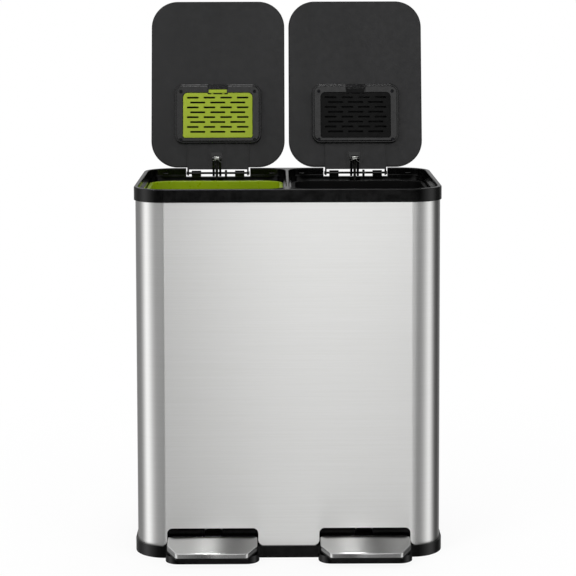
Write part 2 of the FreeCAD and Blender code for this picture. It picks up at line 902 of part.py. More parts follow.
def lid_body(name, side):
    """The lid's moulded top, with a bed for its steel skin."""
    body = new_body(f"lid_body_{name}")
    half = lid_width / 2
    plate = new_sketch(body, "XZ", S.lid_above_axis)
    draw_rounded(plate, -half, half, S.lid_edge, lid_far, S.lid_corner)
    pad(body, plate, S.lid_above_axis + S.lid_below_axis - S.liner_thickness)
    top = S.lid_above_axis.number
    round_edges(body, S.rim_round, lambda edge: at_level(edge, "y", top))
    bed = new_sketch(body, "XZ", S.lid_above_axis - S.skin_thickness - S.skin_gap)
    inset = S.skin_margin - S.skin_gap
    draw_rounded(
        bed, -half + inset, half - inset, S.lid_edge + inset, lid_far - inset, S.lid_corner - inset
    )
    cut(body, bed, S.skin_thickness + S.skin_gap + S.overshoot)
    put_on_lid(body, side)
    return finished(body)


def lid_skin(name, side):
    """The brushed steel plate laid in the top of the lid."""
    body = new_body(f"lid_skin_{name}")
    half = lid_width / 2 - S.skin_margin
    low = S.lid_edge + S.skin_margin
    high = lid_far - S.skin_margin
    plate = new_sketch(body, "XZ", S.lid_above_axis - S.skin_gap)
    draw_rounded(plate, -half, half, low, high, S.lid_corner - S.skin_margin)
    pad(body, plate, S.skin_thickness)
    put_on_lid(body, side)
    return finished(body)


def lid_liner(name, side):
    """The lid's flat underside, with the hinge panel and the two ears that turn on the pin."""
    body = new_body(f"lid_liner_{name}")
    half = lid_width / 2 - S.liner_margin
    low = S.lid_edge + S.liner_margin
    high = lid_far - S.liner_margin
    under = -S.lid_below_axis
    plate = new_sketch(body, "XZ", under + S.liner_thickness)
    draw_rounded(plate, -half, half, low, high, S.lid_corner - S.liner_margin)
    pad(body, plate, S.liner_thickness)
    panel = new_sketch(body, "XZ", under + S.liner_thickness / 2)
    panel_half = S.panel_width / 2
    draw_rectangle(panel, -panel_half, panel_half, S.panel_start, S.housing_start)
    pad(body, panel, S.panel_thickness + S.liner_thickness / 2)
    ribs = new_sketch(body, "XZ", under - S.panel_thickness)
    for place in (-panel_half, -S.panel_rib_left, S.panel_rib_right, panel_half - S.panel_rib):
        draw_rectangle(ribs, place, place + S.panel_rib, S.panel_start + S.panel_rib_inset, S.housing_start)
    pad(body, ribs, S.panel_rib)
    bridge = new_sketch(body, "XZ", under + S.liner_thickness / 2)
    for hand in (-1, 1):
        start = hand * panel_half - S.ear_thickness / 2 - hand * S.ear_thickness / 2
        bridge_top = S.panel_start + S.ear_bridge
        draw_rectangle(bridge, start, start + S.ear_thickness, S.panel_start - S.overshoot, bridge_top)
    pad(body, bridge, S.panel_thickness + S.liner_thickness / 2)
    for hand in (-1, 1):
        start = panel_half - S.ear_thickness if hand > 0 else -panel_half
        ear = new_sketch(body, "YZ", start)
        draw_circle(ear, 0, 0, S.knuckle_radius)
        pad(body, ear, S.ear_thickness)
        web = new_sketch(body, "YZ", start)
        web_front = under - S.panel_thickness
        draw_polygon(
            web,
            [
                (-S.knuckle_radius, 0),
                (S.knuckle_radius, 0),
                (under + S.liner_thickness / 2, S.panel_start + S.ear_web),
                (web_front, S.panel_start + S.ear_web),
                (web_front, S.panel_start),
            ],
        )
        pad(body, web, S.ear_thickness)
    bore = new_sketch(body, "YZ", panel_half + S.bore_overrun)
    draw_circle(bore, 0, 0, S.pin_radius + S.pin_clearance)
    cut(body, bore, S.panel_width + 2 * S.bore_overrun)
    holes = new_sketch(body, "XZ", under - S.overshoot)
    for x, z in housing_screw_places():
        draw_circle(holes, x, z, S.screw_radius)
    cut(body, holes, S.liner_thickness + 2 * S.overshoot)
    put_on_lid(body, side)
    return finished(body)


def housing_screw_places():
    low = S.housing_screw_low
    high = low + S.housing_screw_span
    return [(hand * S.housing_screw_x, level) for level in (low, high) for hand in (-1, 1)]


def lift_lever(name, side):
    """The lever under the lid that the lift rod pushes: two cheeks on a plate, turning on the hinge pin."""
    body = new_body(f"lift_lever_{name}")
    reach = root(S.eye_up * S.eye_up + S.eye_out * S.eye_out)
    across_y = S.eye_up / reach
    across_z = S.eye_out / reach
    face = -S.lid_below_axis - S.panel_thickness
    for hand in (-1, 1):
        near = S.cheek_gap / 2
        start = S.rod_offset + (near if hand > 0 else -near - S.cheek_thickness)
        hub = new_sketch(body, "YZ", start)
        draw_circle(hub, 0, 0, S.lever_radius)
        pad(body, hub, S.cheek_thickness)
        arm = new_sketch(body, "YZ", start)
        draw_polygon(
            arm,
            [
                (0, S.lever_radius),
                (face, S.panel_start),
                (face, S.eye_up + S.boss_radius),
                (-S.eye_out, S.eye_up + S.boss_radius),
                (-S.eye_out - S.boss_radius * across_y, S.eye_up - S.boss_radius * across_z),
                (-S.lever_radius * across_y, -S.lever_radius * across_z),
            ],
        )
        pad(body, arm, S.cheek_thickness)
        eye = new_sketch(body, "YZ", start)
        draw_circle(eye, -S.eye_out, S.eye_up, S.boss_radius)
        pad(body, eye, S.cheek_thickness)
    plate = new_sketch(body, "XZ", face)
    half = S.cheek_gap / 2 + S.cheek_thickness + S.lever_plate_side
    low = S.eye_up - S.lever_plate_below
    high = S.eye_up + S.lever_plate_above
    draw_rectangle(plate, S.rod_offset - half, S.rod_offset + half, low, high)
    pad(body, plate, S.lever_plate)
    window = new_sketch(body, "XZ", face - S.lever_plate - S.overshoot)
    gap_half = S.cheek_gap / 2
    draw_rectangle(
        window,
        S.rod_offset - gap_half,
        S.rod_offset + gap_half,
        low - S.overshoot,
        S.eye_up + S.lever_radius,
    )
    cut(body, window, S.lever_plate + S.overshoot)
    bore = new_sketch(body, "YZ", S.panel_width)
    draw_circle(bore, 0, 0, S.pin_radius + S.pin_clearance)
    draw_circle(bore, -S.eye_out, S.eye_up, S.lever_pin_radius)
    cut(body, bore, 2 * S.panel_width)
    put_on_lid(body, side)
    return finished(body)


def lever_pin(name, side):
    """The bright pin that joins the lift rod's eye to the lever's cheeks."""
    half = S.cheek_gap / 2 + S.cheek_thickness
    y, z = -S.eye_out, S.eye_up
    shank = rod_along_x(f"eye_shank_{name}", S.rod_offset - half, 2 * half, y, z, S.lever_pin_radius)
    heads = []
    for hand in (-1, 1):
        start = S.rod_offset + (half if hand > 0 else -half - S.lever_pin_head)
        label = f"eye_head_{name}_{'low' if hand < 0 else 'high'}"
        heads.append(rod_along_x(label, start, S.lever_pin_head, y, z, S.lever_pin_radius + S.lever_pin_rim))
    pin = fused(f"lever_pin_{name}", shank, *heads)
    put_on_lid(pin, side)
    return finished(pin)


def housing_face():
    """Depth Y of the housing's front frame, in the lid's frame."""
    return -S.lid_below_axis - S.housing_depth


def filter_housing(name, side):
    """The stepped frame under the lid that holds the deodoriser pad behind its grille."""
    body = new_body(f"filter_housing_{name}")
    under = -S.lid_below_axis
    half = S.housing_width / 2
    low = S.housing_start
    high = low + S.housing_height
    step = S.housing_step
    block = new_sketch(body, "XZ", under)
    draw_rounded(block, -half, half, low, high, S.housing_corner)
    pad(body, block, S.housing_depth - S.housing_step_depth)
    round_at = (under - S.housing_depth + S.housing_step_depth).number
    round_edges(body, S.housing_round, lambda edge: at_level(edge, "y", round_at))
    frame = new_sketch(body, "XZ", under - S.overshoot)
    draw_rounded(frame, -half + step, half - step, low + step, high - step, S.housing_corner - step)
    pad(body, frame, S.housing_depth - S.overshoot)
    face = housing_face().number
    round_edges(body, S.housing_round, lambda edge: at_level(edge, "y", face))
    window = new_sketch(body, "XZ", housing_face() - S.overshoot)
    gap = S.grille_gap
    grille_half = S.grille_width / 2 + gap
    grille_low = S.grille_start - gap
    grille_high = S.grille_start + S.grille_height + gap
    top_corner = S.grille_top_corner + gap
    low_corner = S.grille_low_corner + gap
    draw_rounded(
        window,
        -grille_half,
        grille_half,
        grille_low,
        grille_high,
        (low_corner, top_corner, top_corner, low_corner),
    )
    cut(body, window, S.housing_depth + 2 * S.overshoot)
    bay = new_sketch(body, "XZ", housing_face() - S.overshoot)
    bay_half = S.tab_bay_width / 2
    bay_high = S.grille_start + S.grille_height + S.tab_height + S.tab_bay_gap
    draw_rectangle(bay, -bay_half, bay_half, grille_high - S.overshoot, bay_high)
    cut(body, bay, S.tab_bay_depth + S.overshoot)
    scoop = new_sketch(body, "YZ", bay_half)
    outside = housing_face() - S.overshoot
    draw_polygon(
        scoop,
        [
            (outside, bay_high - S.scoop_sill),
            (housing_face() + S.scoop_sill, bay_high - S.scoop_sill),
            (housing_face() + S.tab_bay_depth, high + S.overshoot),
            (outside, high + S.overshoot),
        ],
    )
    cut(body, scoop, 2 * bay_half)
    recesses = new_sketch(body, "XZ", housing_face() - S.overshoot)
    holes = new_sketch(body, "XZ", housing_face() - S.overshoot)
    for x, z in housing_screw_places():
        draw_circle(recesses, x, z, S.screw_recess_radius)
        draw_circle(holes, x, z, S.screw_radius + S.screw_clearance)
    cut(body, recesses, S.screw_recess_depth + S.overshoot)
    cut(body, holes, S.housing_depth + 2 * S.overshoot)
    sockets_end = grille_half + S.trunnion_length
    sockets = new_sketch(body, "YZ", sockets_end)
    radius = S.trunnion_radius + S.pin_clearance
    draw_circle(sockets, grille_back(), S.grille_start + S.trunnion_rise, radius)
    cut(body, sockets, 2 * sockets_end)
    put_on_lid(body, side)
    return finished(body)


def grille_back():
    """Depth Y of the grille's back face, in the lid's frame."""
    return housing_face() + S.grille_recess + S.grille_thickness


def filter_grille(name, side):
    """The slotted grille with its thumb tab, which opens on two trunnions at its lower edge."""
    body = new_body(f"filter_grille_{name}")
    half = S.grille_width / 2
    low = S.grille_start
    high = low + S.grille_height
    corners = (S.grille_low_corner, S.grille_top_corner, S.grille_top_corner, S.grille_low_corner)
    plate = new_sketch(body, "XZ", grille_back())
    draw_rounded(plate, -half, half, low, high, corners)
    pad(body, plate, S.grille_thickness)
    notch = new_sketch(body, "XZ", housing_face() - S.overshoot)
    notch_half = S.tab_bay_width / 2
    draw_rectangle(notch, -notch_half, notch_half, high - S.tab_notch, high + S.overshoot)
    cut(body, notch, S.grille_thickness + S.grille_recess + 2 * S.overshoot)
    webs = new_sketch(body, "XZ", grille_back() + S.tab_web_depth)
    for hand in (-1, 1):
        middle = hand * S.tab_web_place
        draw_rectangle(
            webs,
            middle - S.tab_web / 2,
            middle + S.tab_web / 2,
            high - S.tab_notch - S.tab_web_depth,
            high + S.tab_height / 2,
        )
    pad(body, webs, S.tab_web_depth + S.grille_thickness / 2)
    tab = new_sketch(body, "XZ", grille_back())
    draw_rectangle(tab, -S.tab_width / 2, S.tab_width / 2, high, high + S.tab_height)
    pad(body, tab, S.grille_thickness)
    rows = (
        (S.first_slot, S.long_slot, S.long_slot_pitch, LONG_SLOT_COUNT),
        (S.first_slot + S.slot_pitch, S.short_slot, S.short_slot_pitch, SHORT_SLOT_COUNT),
    )
    for first, length, pitch, count in rows:
        row = new_sketch(body, "XZ", housing_face() - S.overshoot)
        for index in range(count):
            middle = pitch * (index - (count - 1) / 2)
            bottom = low + first - S.slot_height / 2
            draw_rounded(
                row,
                middle - length / 2,
                middle + length / 2,
                bottom,
                bottom + S.slot_height,
                S.slot_round,
            )
        slots = cut(body, row, S.grille_thickness + S.grille_recess + 2 * S.overshoot)
        repeat_up(body, [slots], 2 * (SLOT_ROW_PAIRS - 1) * S.slot_pitch, SLOT_ROW_PAIRS)
    axis_y = grille_back()
    axis_z = low + S.trunnion_rise
    trunnion_half = half + S.grille_gap + S.trunnion_length - S.pin_clearance
    for hand in (-1, 1):
        start = half - S.overshoot if hand > 0 else -trunnion_half
        trunnion = new_sketch(body, "YZ", start)
        draw_circle(trunnion, axis_y, axis_z, S.trunnion_radius)
        pad(body, trunnion, trunnion_half - half + S.overshoot)
    put_on_lid(body, side)
    return finished(body)


def filter_pad(name, side):
    """The deodoriser pad behind the grille: a plain soft block."""
    body = new_body(f"filter_pad_{name}")
    half = S.grille_width / 2 - S.filter_margin
    low = S.grille_start + S.filter_margin
    high = S.grille_start + S.grille_height - S.filter_margin
    block = new_sketch(body, "XZ", -S.lid_below_axis - S.soft_clearance)
    draw_rounded(block, -half, half, low, high, S.grille_low_corner)
    pad(body, block, S.filter_thickness)
    put_on_lid(body, side)
    return finished(body)


def housing_screws(name, side):
    """Four screws that hold the housing through the liner to the lid."""
    seat = housing_face() + S.screw_recess_depth
    length = S.housing_depth - S.screw_recess_depth + S.liner_thickness - S.screw_end_gap
    screws = []
    for index, (x, z) in enumerate(housing_screw_places()):
        head = bar_along_y(
            f"screw_head_{name}_{index}",
            x,
            seat - S.screw_head_height,
            z,
            S.screw_head_height,
            S.screw_head_radius,
        )
        start = seat - S.overshoot
        shank = bar_along_y(
            f"screw_shank_{name}_{index}", x, start, z, length + S.overshoot, S.screw_radius
        )
        screws.append(fused(f"screw_{name}_{index}", head, shank))
    group = grouped(f"housing_screws_{name}", screws)
    put_on_lid(group, side)
    return finished(group)


# ---------------------------------------------------------------- lift rods, in the stored pose


def lift_rod(name, side):
    """The upright rod from the pedal lever's fork to the lid lever's eye."""
    x = side * lid_centre + S.rod_offset
    foot = rod_foot()
    length = eye_z - foot - S.lever_pin_radius - S.overshoot
    shank = upright_bar(f"rod_shank_{name}", x, eye_y, foot, length, S.rod_radius)
    eye_outer = rod_along_x(
        f"rod_eye_{name}", x - S.eye_length / 2, S.eye_length, eye_y, eye_z, S.eye_radius
    )
    eye_hole = rod_along_x(
        f"rod_eye_hole_{name}",
        x - S.eye_length,
        2 * S.eye_length,
        eye_y,
        eye_z,
        S.lever_pin_radius + S.pin_clearance,
    )
    whole = fused(f"rod_blank_{name}", shank, eye_outer)
    rod = doc.addObject("Part::Cut", f"lift_rod_{name}")
    rod.Label = f"lift_rod_{name}"
    rod.Base = whole
    rod.Tool = eye_hole
    return finished(rod)


def upper_collar():
    """Height of the underside of the collar above the fork."""
    return fork_z + S.lever_thickness / 2 + S.collar_gap


def lower_collar():
    """Height of the top of the collar below the fork, with play for the lever's arc."""
    return fork_z - S.lever_thickness / 2 - S.collar_gap - S.collar_play


def rod_foot():
    return lower_collar() - S.collar_height - S.rod_tail


def rod_collars(name, side):
    """Two collars clamped on the rod, one above and one below the fork."""
    x = side * lid_centre + S.rod_offset
    collars = []
    for index, bottom in enumerate((upper_collar(), lower_collar() - S.collar_height)):
        disc = upright_bar(f"collar_disc_{name}_{index}", x, eye_y, bottom, S.collar_height, S.collar_radius)
        hole = upright_bar(
            f"collar_hole_{name}_{index}",
            x,
            eye_y,
            bottom - S.overshoot,
            S.collar_height + 2 * S.overshoot,
            S.rod_radius,
        )
        collar = doc.addObject("Part::Cut", f"collar_{name}_{index}")
        collar.Base = disc
        collar.Tool = hole
        collars.append(collar)
    return finished(grouped(f"rod_collars_{name}", collars))


# ---------------------------------------------------------------- pedals, drawn about their pivot


def tread_outline(inset):
    """The tread's plan, set in by inset: square rear corners and long front chamfers, before rounding."""
    side_run, back_run = S.chamfer_side, S.chamfer_back
    slant = root(side_run * side_run + back_run * back_run)
    x = tread_half - inset
    rear = -S.tread_back - inset
    front = -S.tread_front + inset
    shoulder = -S.tread_front + back_run + inset * (slant - back_run) / side_run
    toe = tread_half - side_run - inset * (slant - side_run) / back_run
    return [(toe, front), (x, shoulder), (x, rear), (-x, rear), (-x, shoulder), (-toe, front)]


def tread_block(body, level, height, inset):
    """A block of the tread's plan with its upright corners rounded."""
    outline = new_sketch(body, "XY", level)
    draw_polygon(outline, tread_outline(as_size(inset)))
    return pad(body, outline, height)


def round_tread_corners(body, inset):
    """Rounds the upright edges of the tread: the rear corners more than the chamfers' ends."""
    rear = (-S.tread_back - as_size(inset)).number
    limit = rear - S.rear_corner.number - S.overshoot.number
    round_edges(
        body,
        S.rear_corner - inset,
        lambda edge: runs_along(edge, "z") and abs(edge.Vertexes[0].Point.y - rear) < 0.01,
    )
    round_edges(
        body,
        S.chamfer_round - inset,
        lambda edge: runs_along(edge, "z") and edge.Vertexes[0].Point.y < limit,
    )


def pedal_cap(name, side):
    """The bright cap: a pressed sheet with a lip folded down all round."""
    body = new_body(f"pedal_cap_{name}")
    tread_block(body, S.tread_top - S.cap_lip, S.cap_lip, 0)
    round_tread_corners(body, 0)
    top = S.tread_top.number
    round_edges(body, S.cap_round, lambda edge: at_level(edge, "z", top))
    hollow = new_sketch(body, "XY", S.tread_top - S.cap_gauge)
    draw_polygon(hollow, tread_outline(S.cap_gauge))
    cut(body, hollow, S.cap_lip)
    notch = new_sketch(body, "XY", bar_low + S.lever_thickness + S.lever_fit)
    half = S.lever_width / 2 + S.lever_fit
    draw_rectangle(notch, -half, half, -S.tread_back - S.cap_round, -S.tread_back + S.cap_round)
    cut(body, notch, S.lever_thickness)
    put_on_pedal(body, side)
    return finished(body)


def pedal_core(name, side):
    """The black tread core under the cap, grooved below for the steel lever."""
    body = new_body(f"pedal_core_{name}")
    flange_top = S.tread_top - S.cap_lip
    tread_block(body, bar_low, S.core_flange, 0)
    round_tread_corners(body, 0)
    inset = S.cap_gauge + S.cap_gap
    core_inset = S.cap_round + S.cap_gauge
    upper = new_sketch(body, "XY", bar_low)
    draw_polygon(upper, tread_outline(core_inset))
    pad(body, upper, flange_top - bar_low + S.cap_lip - inset)
    groove = new_sketch(body, "XY", bar_low + S.lever_thickness + S.lever_fit)
    half = S.lever_width / 2 + S.lever_fit
    draw_rectangle(groove, -half, half, -S.lever_front - S.lever_fit, -S.tread_back + S.groove_overrun)
    cut(body, groove, S.lever_thickness + S.lever_fit + S.overshoot)
    holes = new_sketch(body, "XY", flange_top + S.cap_lip)
    for y in pedal_screw_places():
        draw_circle(holes, 0, y, S.screw_radius)
    cut(body, holes, S.cap_lip + S.core_flange + S.overshoot)
    put_on_pedal(body, side)
    return finished(body)


def pedal_screw_places():
    return [-S.pedal_screw_first - S.pedal_screw_step * index for index in range(2)]


def pedal_lever(name, side):
    """The steel bar from the tread to the rod's fork, with the pivot sleeve welded below it."""
    body = new_body(f"pedal_lever_{name}")
    half = S.lever_width / 2
    rear = fork_reach + S.fork_back
    bar = new_sketch(body, "XY", bar_low)
    draw_rectangle(bar, -half, half, -S.lever_front, rear)
    pad(body, bar, S.lever_thickness)
    sleeve = new_sketch(body, "YZ", -S.sleeve_length / 2)
    draw_circle(sleeve, 0, 0, S.sleeve_radius)
    pad(body, sleeve, S.sleeve_length)
    bore = new_sketch(body, "YZ", S.sleeve_length)
    draw_circle(bore, 0, 0, S.axle_radius + S.pin_clearance)
    cut(body, bore, 2 * S.sleeve_length)
    offset = side * (lid_centre - pedal_centre) + S.rod_offset
    fork = new_sketch(body, "XY", bar_low + S.lever_thickness + S.overshoot)
    slot_half = S.rod_radius + S.fork_clearance
    draw_rectangle(
        fork, offset - slot_half, offset + slot_half, fork_reach - S.fork_front, rear - S.cheek_thickness
    )
    cut(body, fork, S.lever_thickness + 2 * S.overshoot)
    holes = new_sketch(body, "XY", bar_low + S.lever_thickness + S.overshoot)
    for y in pedal_screw_places():
        draw_circle(holes, 0, y, S.screw_radius + S.screw_clearance)
    cut(body, holes, S.lever_thickness + 2 * S.overshoot)
    put_on_pedal(body, side)
    return finished(body)


def pedal_screws(name, side):
    """Two screws from below that hold the lever in the core."""
    screws = []
    for index, y in enumerate(pedal_screw_places()):
        head = upright_bar(
            f"tread_screw_head_{name}_{index}",
            0,
            y,
            bar_low - S.screw_head_height,
            S.screw_head_height,
            S.screw_head_radius,
        )
        shank = upright_bar(
            f"tread_screw_shank_{name}_{index}",
            0,
            y,
            bar_low - S.overshoot,
            S.lever_thickness + 4 * S.overshoot,
            S.screw_radius,
        )
        screws.append(fused(f"tread_screw_{name}_{index}", head, shank))
    group = grouped(f"pedal_screws_{name}", screws)
    put_on_pedal(group, side)
    return finished(group)


# ---------------------------------------------------------------- buckets


def inner_bucket(name, side):
    """A tapered lift-out bucket that hangs by its flange on the rim's seat."""
    body = new_body(f"bucket_{name}")
    gap = S.bucket_gap
    near = bucket_hole_inner + gap
    far = bucket_hole_outer - gap
    front = -bucket_hole_front + gap
    back = bucket_hole_back - gap
    seat = S.rim_top - S.bucket_seat_drop
    taper_x, taper_y = S.bucket_taper_side, S.bucket_taper_front

    def plan(level, inward, share):
        """The bucket's plan at a level, set in by its wall and by its share of the taper."""
        sketch = new_sketch(body, "XY", level)
        low_x = near + inward + share * taper_x
        high_x = far - inward - share * taper_x
        left, right = (low_x, high_x) if side > 0 else (-high_x, -low_x)
        corner = S.bucket_corner - inward
        draw_rounded(
            sketch, left, right, front + inward + share * taper_y, back - inward - share * taper_y, corner
        )
        return sketch

    outside = body.newObject("PartDesign::AdditiveLoft", f"{body.Name}_outside")
    outside.Profile = plan(S.bucket_bottom, 0, 1)
    outside.Sections = [plan(seat + S.bucket_flange, 0, 0)]
    doc.recompute()
    flange = new_sketch(body, "XY", seat)
    reach = S.bucket_seat
    left, right = (near, far) if side > 0 else (-far, -near)
    corner = S.bucket_corner + reach
    draw_rounded(flange, left - reach, right + reach, front - reach, back + reach, corner)
    pad(body, flange, S.bucket_flange)
    floor_share = 1 - S.bucket_floor / (seat + S.bucket_flange - S.bucket_bottom)
    inside = body.newObject("PartDesign::SubtractiveLoft", f"{body.Name}_inside")
    inside.Profile = plan(S.bucket_bottom + S.bucket_floor, S.bucket_wall, floor_share)
    inside.Sections = [plan(seat + S.bucket_flange, S.bucket_wall, 0)]
    doc.recompute()
    top = (seat + S.bucket_flange).number
    round_edges(body, S.bucket_flange / 3, lambda edge: at_level(edge, "z", top))
    return finished(body)


# ---------------------------------------------------------------- the whole bin

body_shell()
top_rim()
base_tray()
base_pads()
for name, side in (("left", -1), ("right", 1)):
    pedal_shroud(name, side)
    hinge_pin(name, side)
    pedal_axle(name, side)
    lid_body(name, side)
    lid_skin(name, side)
    lid_liner(name, side)
    lift_lever(name, side)
    lever_pin(name, side)
    filter_housing(name, side)
    filter_grille(name, side)
    filter_pad(name, side)
    housing_screws(name, side)
    lift_rod(name, side)
    rod_collars(name, side)
    pedal_cap(name, side)
    pedal_core(name, side)
    pedal_lever(name, side)
    pedal_screws(name, side)
    inner_bucket(name, side)
doc.recompute()

failed = [thing.Label for thing in doc.Objects if {"Invalid", "Error"} & set(thing.State)]
if failed:
    raise ValueError(f"these objects did not compute: {failed}")
for thing in nodes:
    if thing.Shape.isNull() or not thing.Shape.isValid():
        raise ValueError(f"{thing.Label} has no valid shape")
for thing in nodes:
    thing.Shape.exportStep(f"parts/{thing.Label}.step")
    box = thing.Shape.BoundBox
    print(
        f"{thing.Label:24s} solids {len(thing.Shape.Solids)}  volume {thing.Shape.Volume / 1000:9.2f} cm3"
        f"  x {box.XMin:7.1f} {box.XMax:7.1f}  y {box.YMin:7.1f} {box.YMax:7.1f}"
        f"  z {box.ZMin:6.1f} {box.ZMax:6.1f}"
    )
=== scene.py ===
# %% [markdown]
# # A double recycling bin, dressed in Blender
#
# The bin's solids come from CAD as a fixed frame: every tube, pin, lid and bucket already has its
# real size and place. This lesson gives them their finishes, adds the small parts that only show
# up close, and sets up the studio. Lengths are in metres unless a name ends in `_MM`.

import math

import bmesh
import bpy
from mathutils import Matrix, Vector


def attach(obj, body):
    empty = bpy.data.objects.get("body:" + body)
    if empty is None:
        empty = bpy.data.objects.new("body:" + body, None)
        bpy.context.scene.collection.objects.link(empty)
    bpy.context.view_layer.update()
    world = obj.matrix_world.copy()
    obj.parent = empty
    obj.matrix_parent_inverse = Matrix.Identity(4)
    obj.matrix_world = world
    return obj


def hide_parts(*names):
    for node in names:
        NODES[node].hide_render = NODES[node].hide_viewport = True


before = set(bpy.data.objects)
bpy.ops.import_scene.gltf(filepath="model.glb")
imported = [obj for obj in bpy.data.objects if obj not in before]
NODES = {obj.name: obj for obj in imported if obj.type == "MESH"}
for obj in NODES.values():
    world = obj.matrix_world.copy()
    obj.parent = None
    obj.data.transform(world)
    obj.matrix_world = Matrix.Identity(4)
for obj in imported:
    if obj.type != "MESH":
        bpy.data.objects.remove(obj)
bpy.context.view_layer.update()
MM = 0.001
SIDES = {"left": -1, "right": 1}
print("CAD nodes:", len(NODES))

# %% [markdown]
# **Camera.** It stands about three metres in front, a little higher than the tops of the open lids,
# with a long lens. It tilts down by only four degrees, and a vertical shift of the lens brings the
# bin into the frame. That keeps its upright edges nearly parallel, as a product photographer does
# with a shift lens. It could be placed by eye, but the values come from a fit to about forty edges
# of the photograph, so they are kept with all their digits.

# %% Place the camera
CAMERA_AT = Vector((-0.017715, -3.048500, 0.960821))
CAMERA_YAW = -0.00628624
CAMERA_PITCH = -0.07241863
CAMERA_ROLL = -0.00259364
FOCAL_PX = 1763.179
SHIFT_PX = -180
IMAGE_PX = 576
SENSOR_WIDTH_MM = 36


def camera_turn(yaw, pitch, roll):
    """The camera's right, up and backward directions as the columns of a matrix."""
    ahead_x = -math.sin(yaw) * math.cos(pitch)
    ahead_y = math.cos(yaw) * math.cos(pitch)
    ahead = Vector((ahead_x, ahead_y, math.sin(pitch)))
    level = Vector((math.cos(yaw), math.sin(yaw), 0))
    raised = level.cross(ahead)
    right = math.cos(roll) * level + math.sin(roll) * raised
    up = -math.sin(roll) * level + math.cos(roll) * raised
    return Matrix((right, up, -ahead)).transposed().to_4x4()


lens = bpy.data.cameras.new("studio_camera")
lens.sensor_width = SENSOR_WIDTH_MM
lens.lens = FOCAL_PX / IMAGE_PX * lens.sensor_width
lens.shift_y = SHIFT_PX / IMAGE_PX
camera = bpy.data.objects.new("studio_camera", lens)
camera.matrix_world = Matrix.Translation(CAMERA_AT) @ camera_turn(CAMERA_YAW, CAMERA_PITCH, CAMERA_ROLL)
bpy.context.scene.collection.objects.link(camera)
bpy.context.scene.camera = camera
print("lens", round(lens.lens, 2), "mm, shift", round(lens.shift_y, 4))

# %% [markdown]
# **Colours and nodes.** Every colour below is written as the hex value that a paint chart would
# give. Blender works in linear light, so one function turns hex into linear numbers. Materials and
# rules are built from nodes, and one small function adds a node, sets it up and links its inputs.

# %% Colour and node helpers
MATH = "ShaderNodeMath"
MIX = "ShaderNodeMix"
RANGE = "ShaderNodeMapRange"


def linear(code):
    """A hex colour such as '#9aac36' as linear red, green, blue and an alpha of 1."""
    values = [int(code[i : i + 2], 16) / 255 for i in (1, 3, 5)]
    values = [v / 12.92 if v <= 0.04045 else ((v + 0.055) / 1.055) ** 2.4 for v in values]
    return (*values, 1.0)


def add(tree, kind, inputs=None, **settings):
    """Adds a node; inputs maps a socket's name or number to a value or to another node's output."""
    node = tree.nodes.new(kind)
    for name, value in settings.items():
        setattr(node, name, value)
    for key, value in (inputs or {}).items():
        socket = node.inputs[key]
        if isinstance(value, bpy.types.NodeSocket):
            tree.links.new(value, socket)
        else:
            socket.default_value = value
    return node


def start_material(name, **values):
    """A new material with one Principled shader, whose even values are set on its own sockets."""
    material = bpy.data.materials.new(name)
    material.use_nodes = True
    tree = material.node_tree
    tree.nodes.clear()
    shader = add(tree, "ShaderNodeBsdfPrincipled", {k.replace("_", " "): v for k, v in values.items()})
    add(tree, "ShaderNodeOutputMaterial", {"Surface": shader.outputs[0]})
    return material, tree, shader


print("white is", linear("#ffffff"), "and mid grey", round(linear("#808080")[0], 3))

# %% [markdown]
# **Floor.** A photographer stands the bin on a pale paper sweep. A plain square does the same work
# here. To the camera it glows nearly white close to the bin and fully white further out, so its
# edge can't be seen, and it keeps the bin's soft shadow. Metal doesn't mirror it, because the world
# below gives the steel its reflections.

# %% Build the floor
FLOOR_HALF = 6.0
FLOOR_GLOW = 0.90
GLOW_NEAR = 0.3
GLOW_FAR = 1.1


def pale_paper():
    """Matt pale paper, whose glow to the camera grows with the distance from the bin."""
    material, tree, shader = start_material(
        "pale_paper_sweep", Base_Color=linear("#e8e8e8"), Roughness=0.9, Specular_IOR_Level=0.1
    )
    seen = add(tree, "ShaderNodeLightPath").outputs["Is Camera Ray"]
    glow = add(tree, "ShaderNodeEmission", {"Color": (1, 1, 1, 1), "Strength": 1.0})
    place = add(tree, "ShaderNodeTexCoord").outputs["Object"]
    far = add(tree, "ShaderNodeVectorMath", {0: place}, operation="LENGTH").outputs["Value"]
    limits = {"From Min": GLOW_NEAR, "From Max": GLOW_FAR, "To Min": FLOOR_GLOW, "To Max": 1.0}
    fade = add(tree, RANGE, {"Value": far, **limits}).outputs[0]
    share = add(tree, MATH, {0: seen, 1: fade}, operation="MULTIPLY").outputs[0]
    both = add(tree, "ShaderNodeMixShader", {0: share, 1: shader.outputs[0], 2: glow.outputs[0]})
    tree.links.new(both.outputs[0], tree.get_output_node("ALL").inputs["Surface"])
    return material


def make_floor():
    """A flat square about the origin."""
    mesh = bpy.data.meshes.new("studio_floor")
    h = FLOOR_HALF
    mesh.from_pydata([(-h, -h, 0), (h, -h, 0), (h, h, 0), (-h, h, 0)], [], [(0, 1, 2, 3)])
    mesh.materials.append(pale_paper())
    floor = bpy.data.objects.new("studio_floor", mesh)
    bpy.context.scene.collection.objects.link(floor)
    floor.visible_glossy = False
    return floor


make_floor()
print("floor", 2 * FLOOR_HALF, "m square")

# %% [markdown]
# **World.** Metal mirrors whatever stands round it, and a photographer places dark cards and bright
# banks of light about a steel body to draw the streaks down its corners. Cards could be modelled,
# but they would cast shadows, so the world does their job. The camera sees it as white, and matt
# surfaces get an even, low light. Glossy rays find light by bearing, from behind the bin on its
# left to behind it on its right, and in front of the bin also by height, where dark bands lie at
# the angles that the rim and the base mirror. Rays that climb more than about 25 degrees are those
# of the sloping pedals: they find light on the left and a dark card right of the middle. Straight
# overhead is a bright bank, for the thin flat faces that look up.

# %% Name the light by direction
WORLD_AMBIENT = 0.55
